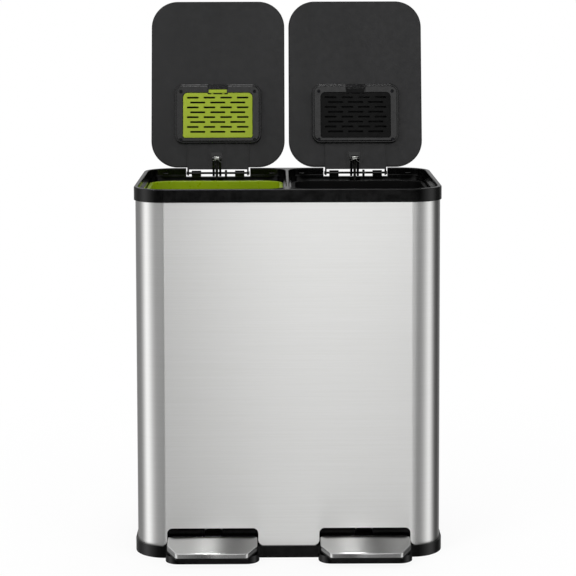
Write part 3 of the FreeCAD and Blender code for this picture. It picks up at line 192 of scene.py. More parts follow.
# Bearing of a mirrored ray and the light it finds: 0.5 is the viewer, below it the left, above it
# the right, and 0 and 1 are straight behind the bin.
BEARINGS = [
    (0.000, 0.40),
    (0.100, 0.22),
    (0.186, 0.26),
    (0.220, 0.50),
    (0.250, 0.90),
    (0.277, 1.22),
    (0.303, 1.12),
    (0.328, 0.86),
    (0.351, 0.60),
    (0.374, 0.50),
    (0.400, 0.48),
    (0.450, 0.62),
    (0.472, 0.46),
    (0.485, 0.66),
    (0.493, 1.40),
    (0.501, 2.00),
    (0.508, 1.85),
    (0.515, 1.45),
    (0.530, 1.12),
    (0.548, 0.84),
    (0.567, 0.60),
    (0.590, 0.42),
    (0.615, 0.40),
    (0.638, 0.45),
    (0.662, 0.62),
    (0.688, 0.86),
    (0.712, 1.05),
    (0.738, 0.88),
    (0.768, 0.42),
    (0.800, 0.12),
    (0.850, 0.06),
    (1.000, 0.40),
]
# Height of a mirrored ray, as the sine of its angle, and the light's share in front of the bin.
FRONT_HEIGHTS = [
    (-1.00, 0.10),
    (-0.40, 0.06),
    (-0.26, 0.06),
    (-0.23, 1.35),
    (-0.19, 1.40),
    (-0.165, 0.04),
    (-0.06, 0.04),
    (-0.02, 1.25),
    (0.08, 1.10),
    (0.18, 0.80),
    (0.24, 1.00),
    (0.30, 1.70),
    (0.40, 2.00),
    (1.00, 1.30),
]
# Across the sky, for the pedals: light on the left, a dark card right of the middle.
SKY_EDGE = 0.30
PEDAL_SKY = [
    (-SKY_EDGE, 0.80),
    (-0.10, 0.75),
    (-0.02, 0.50),
    (0.02, 0.25),
    (0.06, 0.03),
    (0.16, 0.02),
    (SKY_EDGE, 0.40),
]
# How much brighter the bank overhead is than the pedals' sky.
OVERHEAD = 30.0
# Where each region starts and is complete: Y towards the viewer, and heights by sine.
FRONT_FROM, FRONT_FULL = 0.6, 0.85
SKY_FROM, SKY_FULL = 0.36, 0.48
OVERHEAD_FROM, OVERHEAD_FULL = 0.975, 0.99
# A ramp holds values up to 1, so it keeps each light as a share of this.
RAMP_TOP = 4.0
print("directions:", len(BEARINGS), "bearings and", len(FRONT_HEIGHTS), "heights")

# %% Light the world


def light_profile(tree, value, stops, low, high):
    """The light found at a value, read off (value, light) stops that run from low to high."""
    share = add(tree, RANGE, {"Value": value, "From Min": low, "From Max": high}).outputs[0]
    ramp = add(tree, "ShaderNodeValToRGB", {0: share})
    points = ramp.color_ramp.elements
    while len(points) < len(stops):
        points.new(0.5)
    for point, (place, light) in zip(points, stops):
        point.position = (place - low) / (high - low)
        point.color = (light / RAMP_TOP, light / RAMP_TOP, light / RAMP_TOP, 1)
    return add(tree, MATH, {0: ramp.outputs[0], 1: RAMP_TOP}, operation="MULTIPLY").outputs[0]


def region(tree, value, start, full, outside, inside):
    """Goes from the outside light to the inside light as the value passes from start to full."""
    share = add(tree, RANGE, {"Value": value, "From Min": start, "From Max": full}).outputs[0]
    return add(tree, MIX, {0: share, 2: outside, 3: inside}, data_type="FLOAT").outputs[0]


def mirrored_light(tree):
    """The light that a glossy ray finds, by its direction alone."""
    way = add(tree, "ShaderNodeTexCoord").outputs["Generated"]
    x, y, z = add(tree, "ShaderNodeSeparateXYZ", {0: way}).outputs
    toward = add(tree, MATH, {0: y, 1: -1.0}, operation="MULTIPLY").outputs[0]
    angle = add(tree, MATH, {0: x, 1: toward}, operation="ARCTAN2").outputs[0]
    turns = [((place - 0.5) * math.tau, light) for place, light in BEARINGS]
    cards = light_profile(tree, angle, turns, -math.pi, math.pi)
    heights = light_profile(tree, z, FRONT_HEIGHTS, -1.0, 1.0)
    share = region(tree, toward, FRONT_FROM, FRONT_FULL, 1.0, heights)
    level = add(tree, MATH, {0: cards, 1: share}, operation="MULTIPLY").outputs[0]
    across = light_profile(tree, x, PEDAL_SKY, -SKY_EDGE, SKY_EDGE)
    above = region(tree, z, OVERHEAD_FROM, OVERHEAD_FULL, 1.0, OVERHEAD)
    sky = add(tree, MATH, {0: across, 1: above}, operation="MULTIPLY").outputs[0]
    return region(tree, z, SKY_FROM, SKY_FULL, level, sky)


def light_the_world():
    """White to the camera, even and low to matt surfaces, and by direction to glossy ones."""
    world = bpy.data.worlds.new("studio_world")
    bpy.context.scene.world = world
    world.use_nodes = True
    tree = world.node_tree
    tree.nodes.clear()
    rays = add(tree, "ShaderNodeLightPath").outputs
    either = {0: rays["Is Glossy Ray"], 1: rays["Is Transmission Ray"]}
    shiny = add(tree, MATH, either, operation="MAXIMUM").outputs[0]
    lights = []
    for strength in (WORLD_AMBIENT, mirrored_light(tree), 1.0):
        light = add(tree, "ShaderNodeBackground", {"Color": (1, 1, 1, 1), "Strength": strength})
        lights.append(light.outputs[0])
    soft, glossy, white = lights
    lit = add(tree, "ShaderNodeMixShader", {0: shiny, 1: soft, 2: glossy}).outputs[0]
    shown = add(tree, "ShaderNodeMixShader", {0: rays["Is Camera Ray"], 1: lit, 2: white}).outputs[0]
    add(tree, "ShaderNodeOutputWorld", {"Surface": shown})


light_the_world()
print("world lit, ambient", WORLD_AMBIENT)

# %% [markdown]
# **Lamps.** Four soft boxes model the plastics and give the bin its shadow. They are hidden from
# glossy rays: in a steel corner each would draw a streak of its own over those of the world.

# %% Hang the lamps
BIN_MIDDLE = (0, 0, 0.45)
# Each lamp's place, the side of its square and its watts.
LAMPS = {
    "key_softbox": ((-1.6, -1.9, 2.3), 1.4, 38),
    "fill_softbox": ((2.1, -1.5, 1.7), 1.6, 20),
    "top_softbox": ((0.2, 0.3, 2.8), 1.6, 24),
    "back_softbox": ((0.4, 2.6, 1.9), 1.8, 22),
}
for name, (place, size, watts) in LAMPS.items():
    lamp = bpy.data.lights.new(name, "AREA")
    lamp.shape = "SQUARE"
    lamp.size = size
    lamp.energy = watts
    softbox = bpy.data.objects.new(name, lamp)
    softbox.location = place
    facing = Vector(BIN_MIDDLE) - Vector(place)
    softbox.rotation_euler = facing.to_track_quat("-Z", "Y").to_euler()
    softbox.visible_camera = False
    softbox.visible_glossy = False
    bpy.context.scene.collection.objects.link(softbox)
print("lamps", len(LAMPS))

# %% [markdown]
# **What surfaces share.** A real surface is never quite even. Three things return in every material
# here: a pattern of a known size in millimetres, edges that hands and cloths have rubbed, and a
# gloss that varies a little with the pattern. Each is a few nodes, so each is a function. The
# patterns read Object coordinates, which stay on the piece when it moves. The rubbed edge compares
# the true normal with a rounded one, which differ only near a sharp edge.

# %% Surface helpers
EDGE_FROM, EDGE_FULL = 0.01, 0.12
EDGE_SAMPLES = 4
PATTERN_LOW, PATTERN_HIGH = 0.3, 0.7


def object_pattern(tree, size_mm, stretch=(1, 1, 1), detail=2.0, rough=0.5):
    """Noise of this size on the piece's own coordinates."""
    place = add(tree, "ShaderNodeTexCoord").outputs["Object"]
    mapped = add(tree, "ShaderNodeMapping", {"Vector": place, "Scale": stretch}).outputs[0]
    repeats = 1000.0 / size_mm
    look = {"Scale": repeats, "Detail": detail, "Roughness": rough}
    return add(tree, "ShaderNodeTexNoise", {"Vector": mapped, **look}).outputs[0]


def tones(tree, pattern, start, end, first, second):
    """The first colour where the pattern is at its start, the second at its end."""
    share = add(tree, RANGE, {"Value": pattern, "From Min": start, "From Max": end}).outputs[0]
    pair = {0: share, 6: linear(first), 7: linear(second)}
    return add(tree, MIX, pair, data_type="RGBA").outputs[2]


def rub_edges(tree, shader, colour, radius_mm, rubbed):
    """Gives the shader its colour, turned to the rubbed one along edges sharper than the radius."""
    rounded = add(tree, "ShaderNodeBevel", {"Radius": radius_mm * MM}, samples=EDGE_SAMPLES).outputs[0]
    plain = add(tree, "ShaderNodeNewGeometry").outputs["Normal"]
    along = add(tree, "ShaderNodeVectorMath", {0: rounded, 1: plain}, operation="DOT_PRODUCT")
    apart = add(tree, MATH, {0: 1.0, 1: along.outputs["Value"]}, operation="SUBTRACT").outputs[0]
    edges = add(tree, RANGE, {"Value": apart, "From Min": EDGE_FROM, "From Max": EDGE_FULL}).outputs[0]
    worn = add(tree, MIX, {0: edges, 6: colour, 7: linear(rubbed)}, data_type="RGBA").outputs[2]
    tree.links.new(worn, shader.inputs["Base Color"])


def vary_gloss(tree, shader, pattern, roughness, swing):
    """Gives the shader a roughness that follows the pattern, by a swing to each side."""
    source = {"Value": pattern, "From Min": PATTERN_LOW, "From Max": PATTERN_HIGH}
    target = {"To Min": roughness - swing, "To Max": roughness + swing}
    blur = add(tree, RANGE, {**source, **target}).outputs[0]
    tree.links.new(blur, shader.inputs["Roughness"])


print("surface helpers ready")

# %% [markdown]
# **Steel.** The body is ferritic stainless sheet, brushed level all the way round before it was
# bent. Brushing leaves fine parallel scratches, so the metal spreads light across them and keeps
# reflections crisp along them: that is anisotropy, and its direction follows a tangent that runs
# round the vertical axis. Real scratches are a tenth of a millimetre apart, far below one pixel,
# so a coarser set about two millimetres apart is drawn as well. Their roughness hardly varies,
# because on a mirror-like metal even a small change would look like a crack.
#
# The pressed pedal caps are slightly domed. Their CAD faces are flat, so a bump that rises as a
# shallow crown across each cap bends the reflection as the dome does.

# %% Brushed steel
SCRATCH_MM = 0.35
COARSE_SCRATCH_MM = 2.2
SCRATCH_GLOSS_SWING = 0.003
SCRATCH_DEPTH = 0.0001
STEEL_EDGE_MM = 0.5
PEDAL_MIDDLE = 0.127
PEDAL_SLOPE = 0.19


def crown_height(tree, middle, bend, slope):
    """Height of a shallow crown across X about -middle and +middle, which also rises along Y."""
    place = add(tree, "ShaderNodeTexCoord").outputs["Object"]
    x, y = add(tree, "ShaderNodeSeparateXYZ", {0: place}).outputs[:2]
    hand = add(tree, MATH, {0: x}, operation="SIGN").outputs[0]
    centre = add(tree, MATH, {0: hand, 1: middle}, operation="MULTIPLY").outputs[0]
    away = add(tree, MATH, {0: x, 1: centre}, operation="SUBTRACT").outputs[0]
    square = add(tree, MATH, {0: away, 1: away}, operation="MULTIPLY").outputs[0]
    crown = add(tree, MATH, {0: square, 1: -bend}, operation="MULTIPLY").outputs[0]
    return add(tree, MATH, {0: y, 1: slope, 2: crown}, operation="MULTIPLY_ADD").outputs[0]


def brushed_steel(name, dark, light, roughness, axis, stretch, spread, turn=0.0, crown=0.0):
    """Brushed sheet; stretch draws the scratches out, and spread is how far light fans off them."""
    material, tree, shader = start_material(
        name, Metallic=1.0, Anisotropic=spread, Anisotropic_Rotation=turn
    )
    fine = object_pattern(tree, SCRATCH_MM, stretch, 3.0, 0.6)
    coarse = object_pattern(tree, COARSE_SCRATCH_MM, stretch)
    lines = add(tree, MATH, {0: fine, 1: coarse}, operation="ADD").outputs[0]
    shade = tones(tree, lines, 2 * PATTERN_LOW, 2 * PATTERN_HIGH, dark, light)
    rub_edges(tree, shader, shade, STEEL_EDGE_MM, "#e4e4e2")
    vary_gloss(tree, shader, coarse, roughness, SCRATCH_GLOSS_SWING)
    bump = add(tree, "ShaderNodeBump", {"Strength": 0.03, "Distance": SCRATCH_DEPTH, "Height": coarse})
    if crown:
        height = crown_height(tree, PEDAL_MIDDLE, crown, PEDAL_SLOPE)
        arch = add(tree, "ShaderNodeBump", {"Strength": 1.0, "Distance": 1.0, "Height": height})
        tree.links.new(arch.outputs[0], bump.inputs["Normal"])
    tree.links.new(bump.outputs[0], shader.inputs["Normal"])
    tangent = add(tree, "ShaderNodeTangent", direction_type="RADIAL", axis=axis)
    tree.links.new(tangent.outputs[0], shader.inputs["Tangent"])
    return material


# Level scratches round the body: soft upright streaks at the corners.
STEEL_BODY = brushed_steel(
    "brushed_stainless_body", "#e6e6e4", "#ececeb", 0.28, "Z", (0.01, 0.01, 1), 0.92, turn=0.25
)
# Scratches across the lid: a calm sheen without a sharp image.
STEEL_LID = brushed_steel(
    "brushed_stainless_lid", "#dededc", "#e6e6e4", 0.30, "X", (0.01, 1, 1), 0.7
)
# Pressed and nearly polished: light at one end, dark at the other.
STEEL_PEDAL = brushed_steel(
    "pressed_stainless_pedal", "#cecece", "#d8d8d7", 0.20, "X", (0.01, 1, 1), 0.5, crown=1.9
)
print("steels:", STEEL_BODY.name, STEEL_LID.name, STEEL_PEDAL.name)

# %% [markdown]
# **Moulded plastics.** The rim is glossy black polypropylene, the base a satin one, and the lids
# have a fine spark-eroded grain that keeps fingerprints off. They could be plain shaders, but then
# they would look like one plastic. All come from one recipe instead: a body colour with faint flow
# marks, a bump of the real grain size, an uneven gloss, and a slightly paler line on rubbed edges.

# %% Moulded plastic
PLASTIC_IOR = 1.49
FLOW_MARK_MM = 60
MOTTLE_MM = 9
PLASTIC_GLOSS_SWING = 0.04
PLASTIC_EDGE_MM = 0.6
GRAIN_DEPTH_SHARE = 0.1


def moulded_plastic(name, body, rubbed, roughness, grain_mm, grain, specular=0.5):
    """Plastic with a grain of this size; grain is how strongly it shows."""
    material, tree, shader = start_material(name, IOR=PLASTIC_IOR, Specular_IOR_Level=specular)
    flow = object_pattern(tree, FLOW_MARK_MM, (1, 1, 0.4), 3.0)
    base = tones(tree, flow, PATTERN_LOW, PATTERN_HIGH, body, rubbed)
    rub_edges(tree, shader, base, PLASTIC_EDGE_MM, rubbed)
    mottle = object_pattern(tree, MOTTLE_MM, detail=3.0, rough=0.6)
    vary_gloss(tree, shader, mottle, roughness, PLASTIC_GLOSS_SWING)
    texture = object_pattern(tree, grain_mm, rough=0.6)
    depth = grain_mm * GRAIN_DEPTH_SHARE * MM
    bump = add(tree, "ShaderNodeBump", {"Strength": grain, "Distance": depth, "Height": texture})
    tree.links.new(bump.outputs[0], shader.inputs["Normal"])
    return material


# Polished in the mould: it mirrors the studio as dark and bright lines.
RIM_BLACK = moulded_plastic("gloss_polypropylene_rim", "#020202", "#060606", 0.13, 0.8, 0.02, 0.36)
# A little less polished, as it stands on the floor.
BASE_BLACK = moulded_plastic("satin_polypropylene_base", "#020202", "#060606", 0.17, 0.8, 0.05, 0.38)
# Spark-eroded grain: an even dark grey at every angle.
LID_BLACK = moulded_plastic("grained_polypropylene_lid", "#161617", "#1c1c1d", 0.36, 0.7, 0.3, 0.3)
# Satin, so that its edges catch thin highlights against the lid.
HOUSING_BLACK = moulded_plastic(
    "satin_polypropylene_housing", "#050506", "#0b0b0c", 0.26, 0.7, 0.12, 0.38
)
# Bright leaf green with a satin gloss.
BUCKET_GREEN = moulded_plastic("satin_polypropylene_green", "#7a9204", "#869e0c", 0.30, 0.8, 0.15)
# The bucket's green painted a shade paler: a painted sheen that stands in for the light its grain
# scatters.
GRILLE_GREEN_PAINTED_SHEEN = moulded_plastic(
    "grained_polypropylene_green_painted_sheen", "#8b9d1e", "#97a92c", 0.42, 0.6, 0.2, 0.4
)
# Deep black with little gloss: the inside of the bucket almost vanishes.
BUCKET_BLACK = moulded_plastic(
    "satin_polypropylene_black", "#040404", "#090909", 0.42, 0.8, 0.2, 0.12
)
# Rubber scatters nearly all of its light.
RUBBER_BLACK = moulded_plastic("moulded_rubber_pad", "#0d0d0d", "#1c1c1c", 0.75, 0.5, 0.5)
print("plastics:", sum("polypropylene" in m.name for m in bpy.data.materials))

# %% [markdown]
# **Small metal.** The pedal levers, axles and collars are mild steel, zinc plated. A bright zinc
# coat has a faint spangle and a slightly warm, uneven polish. The rods and pins are dark and oiled,
# and the screws have a black zinc coat.

# %% Plated steel
PLATE_EDGE_MM = 0.3
PLATE_GLOSS_SWING = 0.05
SPANGLE_LOW, SPANGLE_HIGH = 0.35, 0.65
SPANGLE_DEPTH = 0.00005


def plated_steel(name, dark, light, roughness, spangle_mm, rubbed):
    """Coated steel whose crystals show as a faint spangle of this size."""
    material, tree, shader = start_material(name, Metallic=1.0)
    spangle = object_pattern(tree, spangle_mm)
    base = tones(tree, spangle, SPANGLE_LOW, SPANGLE_HIGH, dark, light)
    rub_edges(tree, shader, base, PLATE_EDGE_MM, rubbed)
    vary_gloss(tree, shader, spangle, roughness, PLATE_GLOSS_SWING)
    bump = add(tree, "ShaderNodeBump", {"Strength": 0.1, "Distance": SPANGLE_DEPTH, "Height": spangle})
    tree.links.new(bump.outputs[0], shader.inputs["Normal"])
    return material


# Bright and a little warm.
ZINC = plated_steel("bright_zinc_plate", "#8f908c", "#a5a6a2", 0.32, 1.6, "#b4b4b0")
# Nearly black, but still a metal at its edges.
BLACK_ZINC = plated_steel("black_zinc_plate", "#19191b", "#262629", 0.4, 1.2, "#3c3c40")
# Dark grey with a greasy sheen.
DARK_STEEL = plated_steel("oiled_dark_steel", "#2c2c2a", "#3b3b38", 0.38, 2.5, "#55554f")
print("metals:", ZINC.name, BLACK_ZINC.name, DARK_STEEL.name)

# %% [markdown]
# **Dressing.** A CAD node is never moved or reshaped: it only gets its finish. Most pieces come as
# a left and a right one, so the list below names them without a side, except where the two differ
# in colour.

# %% Dress the CAD nodes
FINISHES = (
    (STEEL_BODY, "body_shell"),
    (STEEL_LID, "lid_skin"),
    (STEEL_PEDAL, "pedal_cap"),
    (RIM_BLACK, "top_rim"),
    (BASE_BLACK, "base_tray", "pedal_core", "pedal_shroud"),
    (LID_BLACK, "lid_body", "lid_liner"),
    (HOUSING_BLACK, "filter_housing", "lift_lever"),
    (ZINC, "pedal_axle", "rod_collars", "pedal_lever"),
    (DARK_STEEL, "hinge_pin", "lever_pin", "lift_rod"),
    (BLACK_ZINC, "housing_screws", "pedal_screws"),
    (RUBBER_BLACK, "base_pads", "filter_pad"),
    (BUCKET_GREEN, "bucket_left"),
    (GRILLE_GREEN_PAINTED_SHEEN, "filter_grille_left"),
    (BUCKET_BLACK, "bucket_right", "filter_grille_right"),
)
dressed = set()
for material, *stems in FINISHES:
    for stem in stems:
        for name in (stem, f"{stem}_left", f"{stem}_right"):
            if name in NODES:
                mesh = NODES[name].data
                mesh.materials.clear()
                mesh.materials.append(material)
                dressed.add(name)
print("dressed", len(dressed), "of", len(NODES))

# %% [markdown]
# **Small parts by rule.** Screws and rubber feet repeat, so each kind is one Geometry Nodes tree:
# it draws one piece, sets a copy on every point of a small mesh, and turns the copies into plain
# faces. The result is copied into a plain mesh and the modifier is removed, because the export
# drops live instances.

# %% Tools for rule-made parts


def new_tree(name, sizes):
    """An empty Geometry Nodes tree with one named input for each size."""
    tree = bpy.data.node_groups.new(name, "GeometryNodeTree")
    face = tree.interface
    face.new_socket("Points", in_out="INPUT", socket_type="NodeSocketGeometry")
    for label in sizes:
        face.new_socket(label, in_out="INPUT", socket_type="NodeSocketFloat")
    face.new_socket("Heading", in_out="INPUT", socket_type="NodeSocketVector")
    face.new_socket("Finish", in_out="INPUT", socket_type="NodeSocketMaterial")
    face.new_socket("Geometry", in_out="OUTPUT", socket_type="NodeSocketGeometry")
    start = add(tree, "NodeGroupInput").outputs
    return tree, start


def lift_part(tree, geometry, height):
    """A part of the piece, moved up by a height that the tree works out."""
    offset = add(tree, "ShaderNodeCombineXYZ", {"Z": height}).outputs[0]
    return add(tree, "GeometryNodeTransform", {"Geometry": geometry, "Translation": offset}).outputs[0]


def finish_tree(tree, start, parts):
    """Joins the parts and sets them on every point, turned to the heading, as plain faces."""
    piece = add(tree, "GeometryNodeJoinGeometry")
    for part in reversed(parts):
        tree.links.new(part, piece.inputs[0])
    turned = add(tree, "FunctionNodeAlignRotationToVector", {"Vector": start["Heading"]}, axis="Z")
    places = {"Points": start["Points"], "Rotation": turned.outputs[0]}
    copies = add(tree, "GeometryNodeInstanceOnPoints", {**places, "Instance": piece.outputs[0]})
    plain = add(tree, "GeometryNodeRealizeInstances", {0: copies.outputs[0]}).outputs[0]
    painted = add(tree, "GeometryNodeSetMaterial", {"Geometry": plain, "Material": start["Finish"]})
    add(tree, "NodeGroupOutput", {0: painted.outputs[0]})
    return tree


def grow(name, tree, points, values):
    """Runs a tree on points and returns its result as a plain mesh object at the origin."""
    mesh = bpy.data.meshes.new(name + "_points")
    mesh.from_pydata([tuple(v) for v in points], [], [])
    source = bpy.data.objects.new(name + "_points", mesh)
    bpy.context.scene.collection.objects.link(source)
    rule = source.modifiers.new("rule", "NODES")
    rule.node_group = tree
    for item in tree.interface.items_tree:
        if item.in_out == "INPUT" and item.name in values:
            rule[item.identifier] = values[item.name]
    source.update_tag()
    ready = source.evaluated_get(bpy.context.evaluated_depsgraph_get())
    grown = bpy.data.meshes.new_from_object(ready)
    source.modifiers.remove(rule)
    bpy.data.objects.remove(source)
    thing = bpy.data.objects.new(name, grown)
    bpy.context.scene.collection.objects.link(thing)
    return thing


print("rule tools ready")

# %% [markdown]
# **The lid's own frame.** The open lids lean nine degrees past upright, so what sits on a lid is
# placed in the lid's frame: `out` counts from the hinge axis towards the inside of the bin, `up`
# along the lid. One function turns such a place into a point of the world.

# %% Places on the lid
HINGE_Y_MM = 157.0
HINGE_Z_MM = 609.5
LEAN = math.radians(9)
LID_MIDDLE_MM = 125.6
LID_OUTWARD = (0.0, -math.cos(LEAN), math.sin(LEAN))


def on_lid(side, across, out, up):
    """A point of the lid's frame, in metres; across is from the lid's middle, all in millimetres."""
    x = SIDES[side] * LID_MIDDLE_MM + across
    y = HINGE_Y_MM - out * math.cos(LEAN) + up * math.sin(LEAN)
    z = HINGE_Z_MM + out * math.sin(LEAN) + up * math.cos(LEAN)
    return Vector((x, y, z)) * MM


print("lid frame leans", round(math.degrees(LEAN)), "degrees")

# %% [markdown]
# **Housing screws.** Four small pan-head screws hold each deodoriser housing. The CAD has plain
# heads, and the cross recess is cut here, where a Boolean takes two bars out of a low cone. All
# four are one piece for each lid, and they replace the plain ones.

# %% Housing screws
SCREW_SIZES = {
    "Head Radius": 2.8 * MM,
    "Head Height": 2.0 * MM,
    "Shank Radius": 1.5 * MM,
    "Shank Length": 13.4 * MM,
    "Slot Width": 0.8 * MM,
    "Slot Depth": 1.2 * MM,
}
HEAD_TOP_SHARE = 0.8
SLOT_REACH_SHARE = 1.15
SCREW_SEAT_MM = 14.7
SCREW_ROWS_MM = (59.7, 147.7)
SCREW_COLUMNS_MM = (-67, 67)


def screw_tree():
    """A pan-head screw with a cross recess; the head's seat is the origin."""
    tree, start = new_tree("cross_recess_screw", SCREW_SIZES)
    radius, height = start["Head Radius"], start["Head Height"]
    top = add(tree, MATH, {0: radius, 1: HEAD_TOP_SHARE}, operation="MULTIPLY").outputs[0]
    cone = {"Vertices": 24, "Radius Top": top, "Radius Bottom": radius, "Depth": height}
    head = add(tree, "GeometryNodeMeshCone", cone).outputs["Mesh"]
    reach = add(tree, MATH, {0: radius, 1: SLOT_REACH_SHARE}, operation="MULTIPLY").outputs[0]
    deep = add(tree, MATH, {0: start["Slot Depth"], 1: 2.0}, operation="MULTIPLY").outputs[0]
    cut = add(tree, "GeometryNodeMeshBoolean", operation="DIFFERENCE")
    tree.links.new(head, cut.inputs["Mesh 1"])
    bars = []
    for first, second in ((reach, start["Slot Width"]), (start["Slot Width"], reach)):
        size = add(tree, "ShaderNodeCombineXYZ", {"X": first, "Y": second, "Z": deep}).outputs[0]
        bar = add(tree, "GeometryNodeMeshCube", {"Size": size}).outputs["Mesh"]
        bars.append(lift_part(tree, bar, height))
    for bar in bars:
        tree.links.new(bar, cut.inputs["Mesh 2"])
    rod = {"Vertices": 16, "Radius": start["Shank Radius"], "Depth": start["Shank Length"]}
    shank = add(tree, "GeometryNodeMeshCylinder", rod).outputs["Mesh"]
    low = add(tree, MATH, {0: start["Shank Length"], 1: -0.5}, operation="MULTIPLY").outputs[0]
    return finish_tree(tree, start, [cut.outputs[0], lift_part(tree, shank, low)])


SCREW_TREE = screw_tree()
for side in SIDES:
    seats = [on_lid(side, x, SCREW_SEAT_MM, up) for up in SCREW_ROWS_MM for x in SCREW_COLUMNS_MM]
    values = {**SCREW_SIZES, "Heading": LID_OUTWARD, "Finish": BLACK_ZINC}
    screws = grow(f"cross_screws_{side}", SCREW_TREE, seats, values)
    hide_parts(f"housing_screws_{side}")
    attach(screws, f"lid_{side}")
    print(screws.name, len(screws.data.polygons), "faces")

# %% [markdown]
# **Rubber feet.** Four discs under the base keep the bin from sliding when a pedal is pressed.
# Moulded feet have round ribs that grip the floor. Each rib is a circle swept along a larger
# circle, which Geometry Nodes does with Curve to Mesh.

# %% Ringed rubber feet
FOOT_SIZES = {
    "Foot Radius": 13.8 * MM,
    "Foot Height": 2.0 * MM,
    "Ring Radius": 0.6 * MM,
    "Ring Gap": 4.0 * MM,
}
FOOT_RINGS = 3
FIRST_RING_SHARE = 0.35
FEET_X_MM = (-215, 215)
FEET_Y_MM = (-125, 125)


def foot_tree():
    """A rubber disc whose underside carries round ribs; it stands on z = 0."""
    tree, start = new_tree("ringed_foot", FOOT_SIZES)
    radius, ring = start["Foot Radius"], start["Ring Radius"]
    plate = add(tree, MATH, {0: start["Foot Height"], 1: ring}, operation="SUBTRACT").outputs[0]
    round_plate = {"Vertices": 48, "Radius": radius, "Depth": plate}
    disc = add(tree, "GeometryNodeMeshCylinder", round_plate).outputs["Mesh"]
    middle = add(tree, MATH, {0: plate, 1: 0.5, 2: ring}, operation="MULTIPLY_ADD").outputs[0]
    parts = [lift_part(tree, disc, middle)]
    profile = add(tree, "GeometryNodeCurvePrimitiveCircle", {"Resolution": 8, "Radius": ring})
    for index in range(FOOT_RINGS):
        count = index + FIRST_RING_SHARE
        inward = add(tree, MATH, {0: start["Ring Gap"], 1: count}, operation="MULTIPLY").outputs[0]
        reach = add(tree, MATH, {0: radius, 1: inward}, operation="SUBTRACT").outputs[0]
        line = add(tree, "GeometryNodeCurvePrimitiveCircle", {"Resolution": 48, "Radius": reach})
        sweep = {0: line.outputs[0], 1: profile.outputs[0]}
        rib = add(tree, "GeometryNodeCurveToMesh", sweep).outputs[0]
        parts.append(lift_part(tree, rib, ring))
    return finish_tree(tree, start, parts)


foot_places = [Vector((x, y, 0)) * MM for x in FEET_X_MM for y in FEET_Y_MM]
foot_values = {**FOOT_SIZES, "Heading": (0.0, 0.0, 1.0), "Finish": RUBBER_BLACK}
feet = grow("ringed_feet", foot_tree(), foot_places, foot_values)
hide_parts("base_pads")
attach(feet, "carcass")
print(feet.name, len(feet.data.polygons), "faces")

# %% [markdown]
# **Felt.** The deodoriser pad is charcoal needle felt: fibres punched together without a weave. It
# reflects almost nothing, and loose fibres give it a faint pale edge, which the sheen adds. The
# fibres are drawn half a millimetre wide, coarser than real ones, so that they show at all.

# %% Charcoal felt
FIBRE_MM = 0.5
TUFT_MM = 6
FIBRE_DEPTH = 0.0004


def charcoal_felt(name):
    """Matt black felt, with fine fibres and broad tufts."""
    material, tree, shader = start_material(
        name, Specular_IOR_Level=0.1, Sheen_Weight=0.2, Sheen_Roughness=0.6
    )
    fibres = object_pattern(tree, FIBRE_MM, (1, 1, 0.35), 4.0, 0.7)
    tufts = object_pattern(tree, TUFT_MM, detail=3.0, rough=0.6)
    base = tones(tree, tufts, PATTERN_LOW, PATTERN_HIGH, "#0b0b0c", "#151515")
    tree.links.new(base, shader.inputs["Base Color"])
    blur = add(tree, RANGE, {"Value": fibres, "To Min": 0.85, "To Max": 1.0}).outputs[0]
    tree.links.new(blur, shader.inputs["Roughness"])
    bump = add(tree, "ShaderNodeBump", {"Strength": 0.6, "Distance": FIBRE_DEPTH, "Height": fibres})
    tree.links.new(bump.outputs[0], shader.inputs["Normal"])
    return material


CHARCOAL_FELT = charcoal_felt("charcoal_needle_felt")
print("felt:", CHARCOAL_FELT.name)

# %% [markdown]
# **Deodoriser pads.** Behind each grille lies a pad of this felt in a thin sleeve. Its border is
# heat sealed, so the pad is a low pillow: full in the middle, thin and flat at the edge, with its
# corners drawn in a little. Cloth physics could fill it, but a grid raised by one formula gives the
# same shape each time, and a closed mesh with an even grid.

# %% Deodoriser pads
PAD_HALF_WIDTH_MM = 57.5
PAD_LOW_MM, PAD_HIGH_MM = 69.2, 139.8
PAD_BACK_MM, PAD_FRONT_MM = 4.0, 13.5
PAD_BORDER_MM = 2.0
PAD_COLUMNS, PAD_ROWS = 56, 36
CORNER_PULL = 0.018
# High powers keep the pad full until close to its border.
SIDE_POWER, END_POWER = 9, 7


def pad_layers(side):
    """The points of the flat back and of the crowned front, row by row."""
    back_layer, front_layer = [], []
    for row in range(PAD_ROWS + 1):
        v = 2 * row / PAD_ROWS - 1
        for column in range(PAD_COLUMNS + 1):
            u = 2 * column / PAD_COLUMNS - 1
            pull = 1 - CORNER_PULL * (v * v * u * u)
            across = u * PAD_HALF_WIDTH_MM * pull
            up = (PAD_LOW_MM + PAD_HIGH_MM) / 2 + v * (PAD_HIGH_MM - PAD_LOW_MM) / 2 * pull
            full = ((1 - abs(u) ** SIDE_POWER) * (1 - abs(v) ** END_POWER)) ** 0.5
            thick = PAD_BORDER_MM + (PAD_FRONT_MM - PAD_BACK_MM - PAD_BORDER_MM) * full
            back_layer.append(on_lid(side, across, PAD_BACK_MM, up))
            front_layer.append(on_lid(side, across, PAD_BACK_MM + thick, up))
    return back_layer, front_layer


def pad_faces(count):
    """Faces of the back, of the front, and of the border between them."""
    wide = PAD_COLUMNS + 1
    faces = []
    for row in range(PAD_ROWS):
        for column in range(PAD_COLUMNS):
            a = row * wide + column
            b, c, d = a + 1, a + wide + 1, a + wide
            faces.append((a, d, c, b))
            faces.append((count + a, count + b, count + c, count + d))
    ring = list(range(PAD_COLUMNS))
    ring += [row * wide + PAD_COLUMNS for row in range(PAD_ROWS)]
    ring += [PAD_ROWS * wide + column for column in range(PAD_COLUMNS, 0, -1)]
    ring += [row * wide for row in range(PAD_ROWS, 0, -1)]
    for first, second in zip(ring, ring[1:] + ring[:1]):
        faces.append((first, second, count + second, count + first))
    return faces


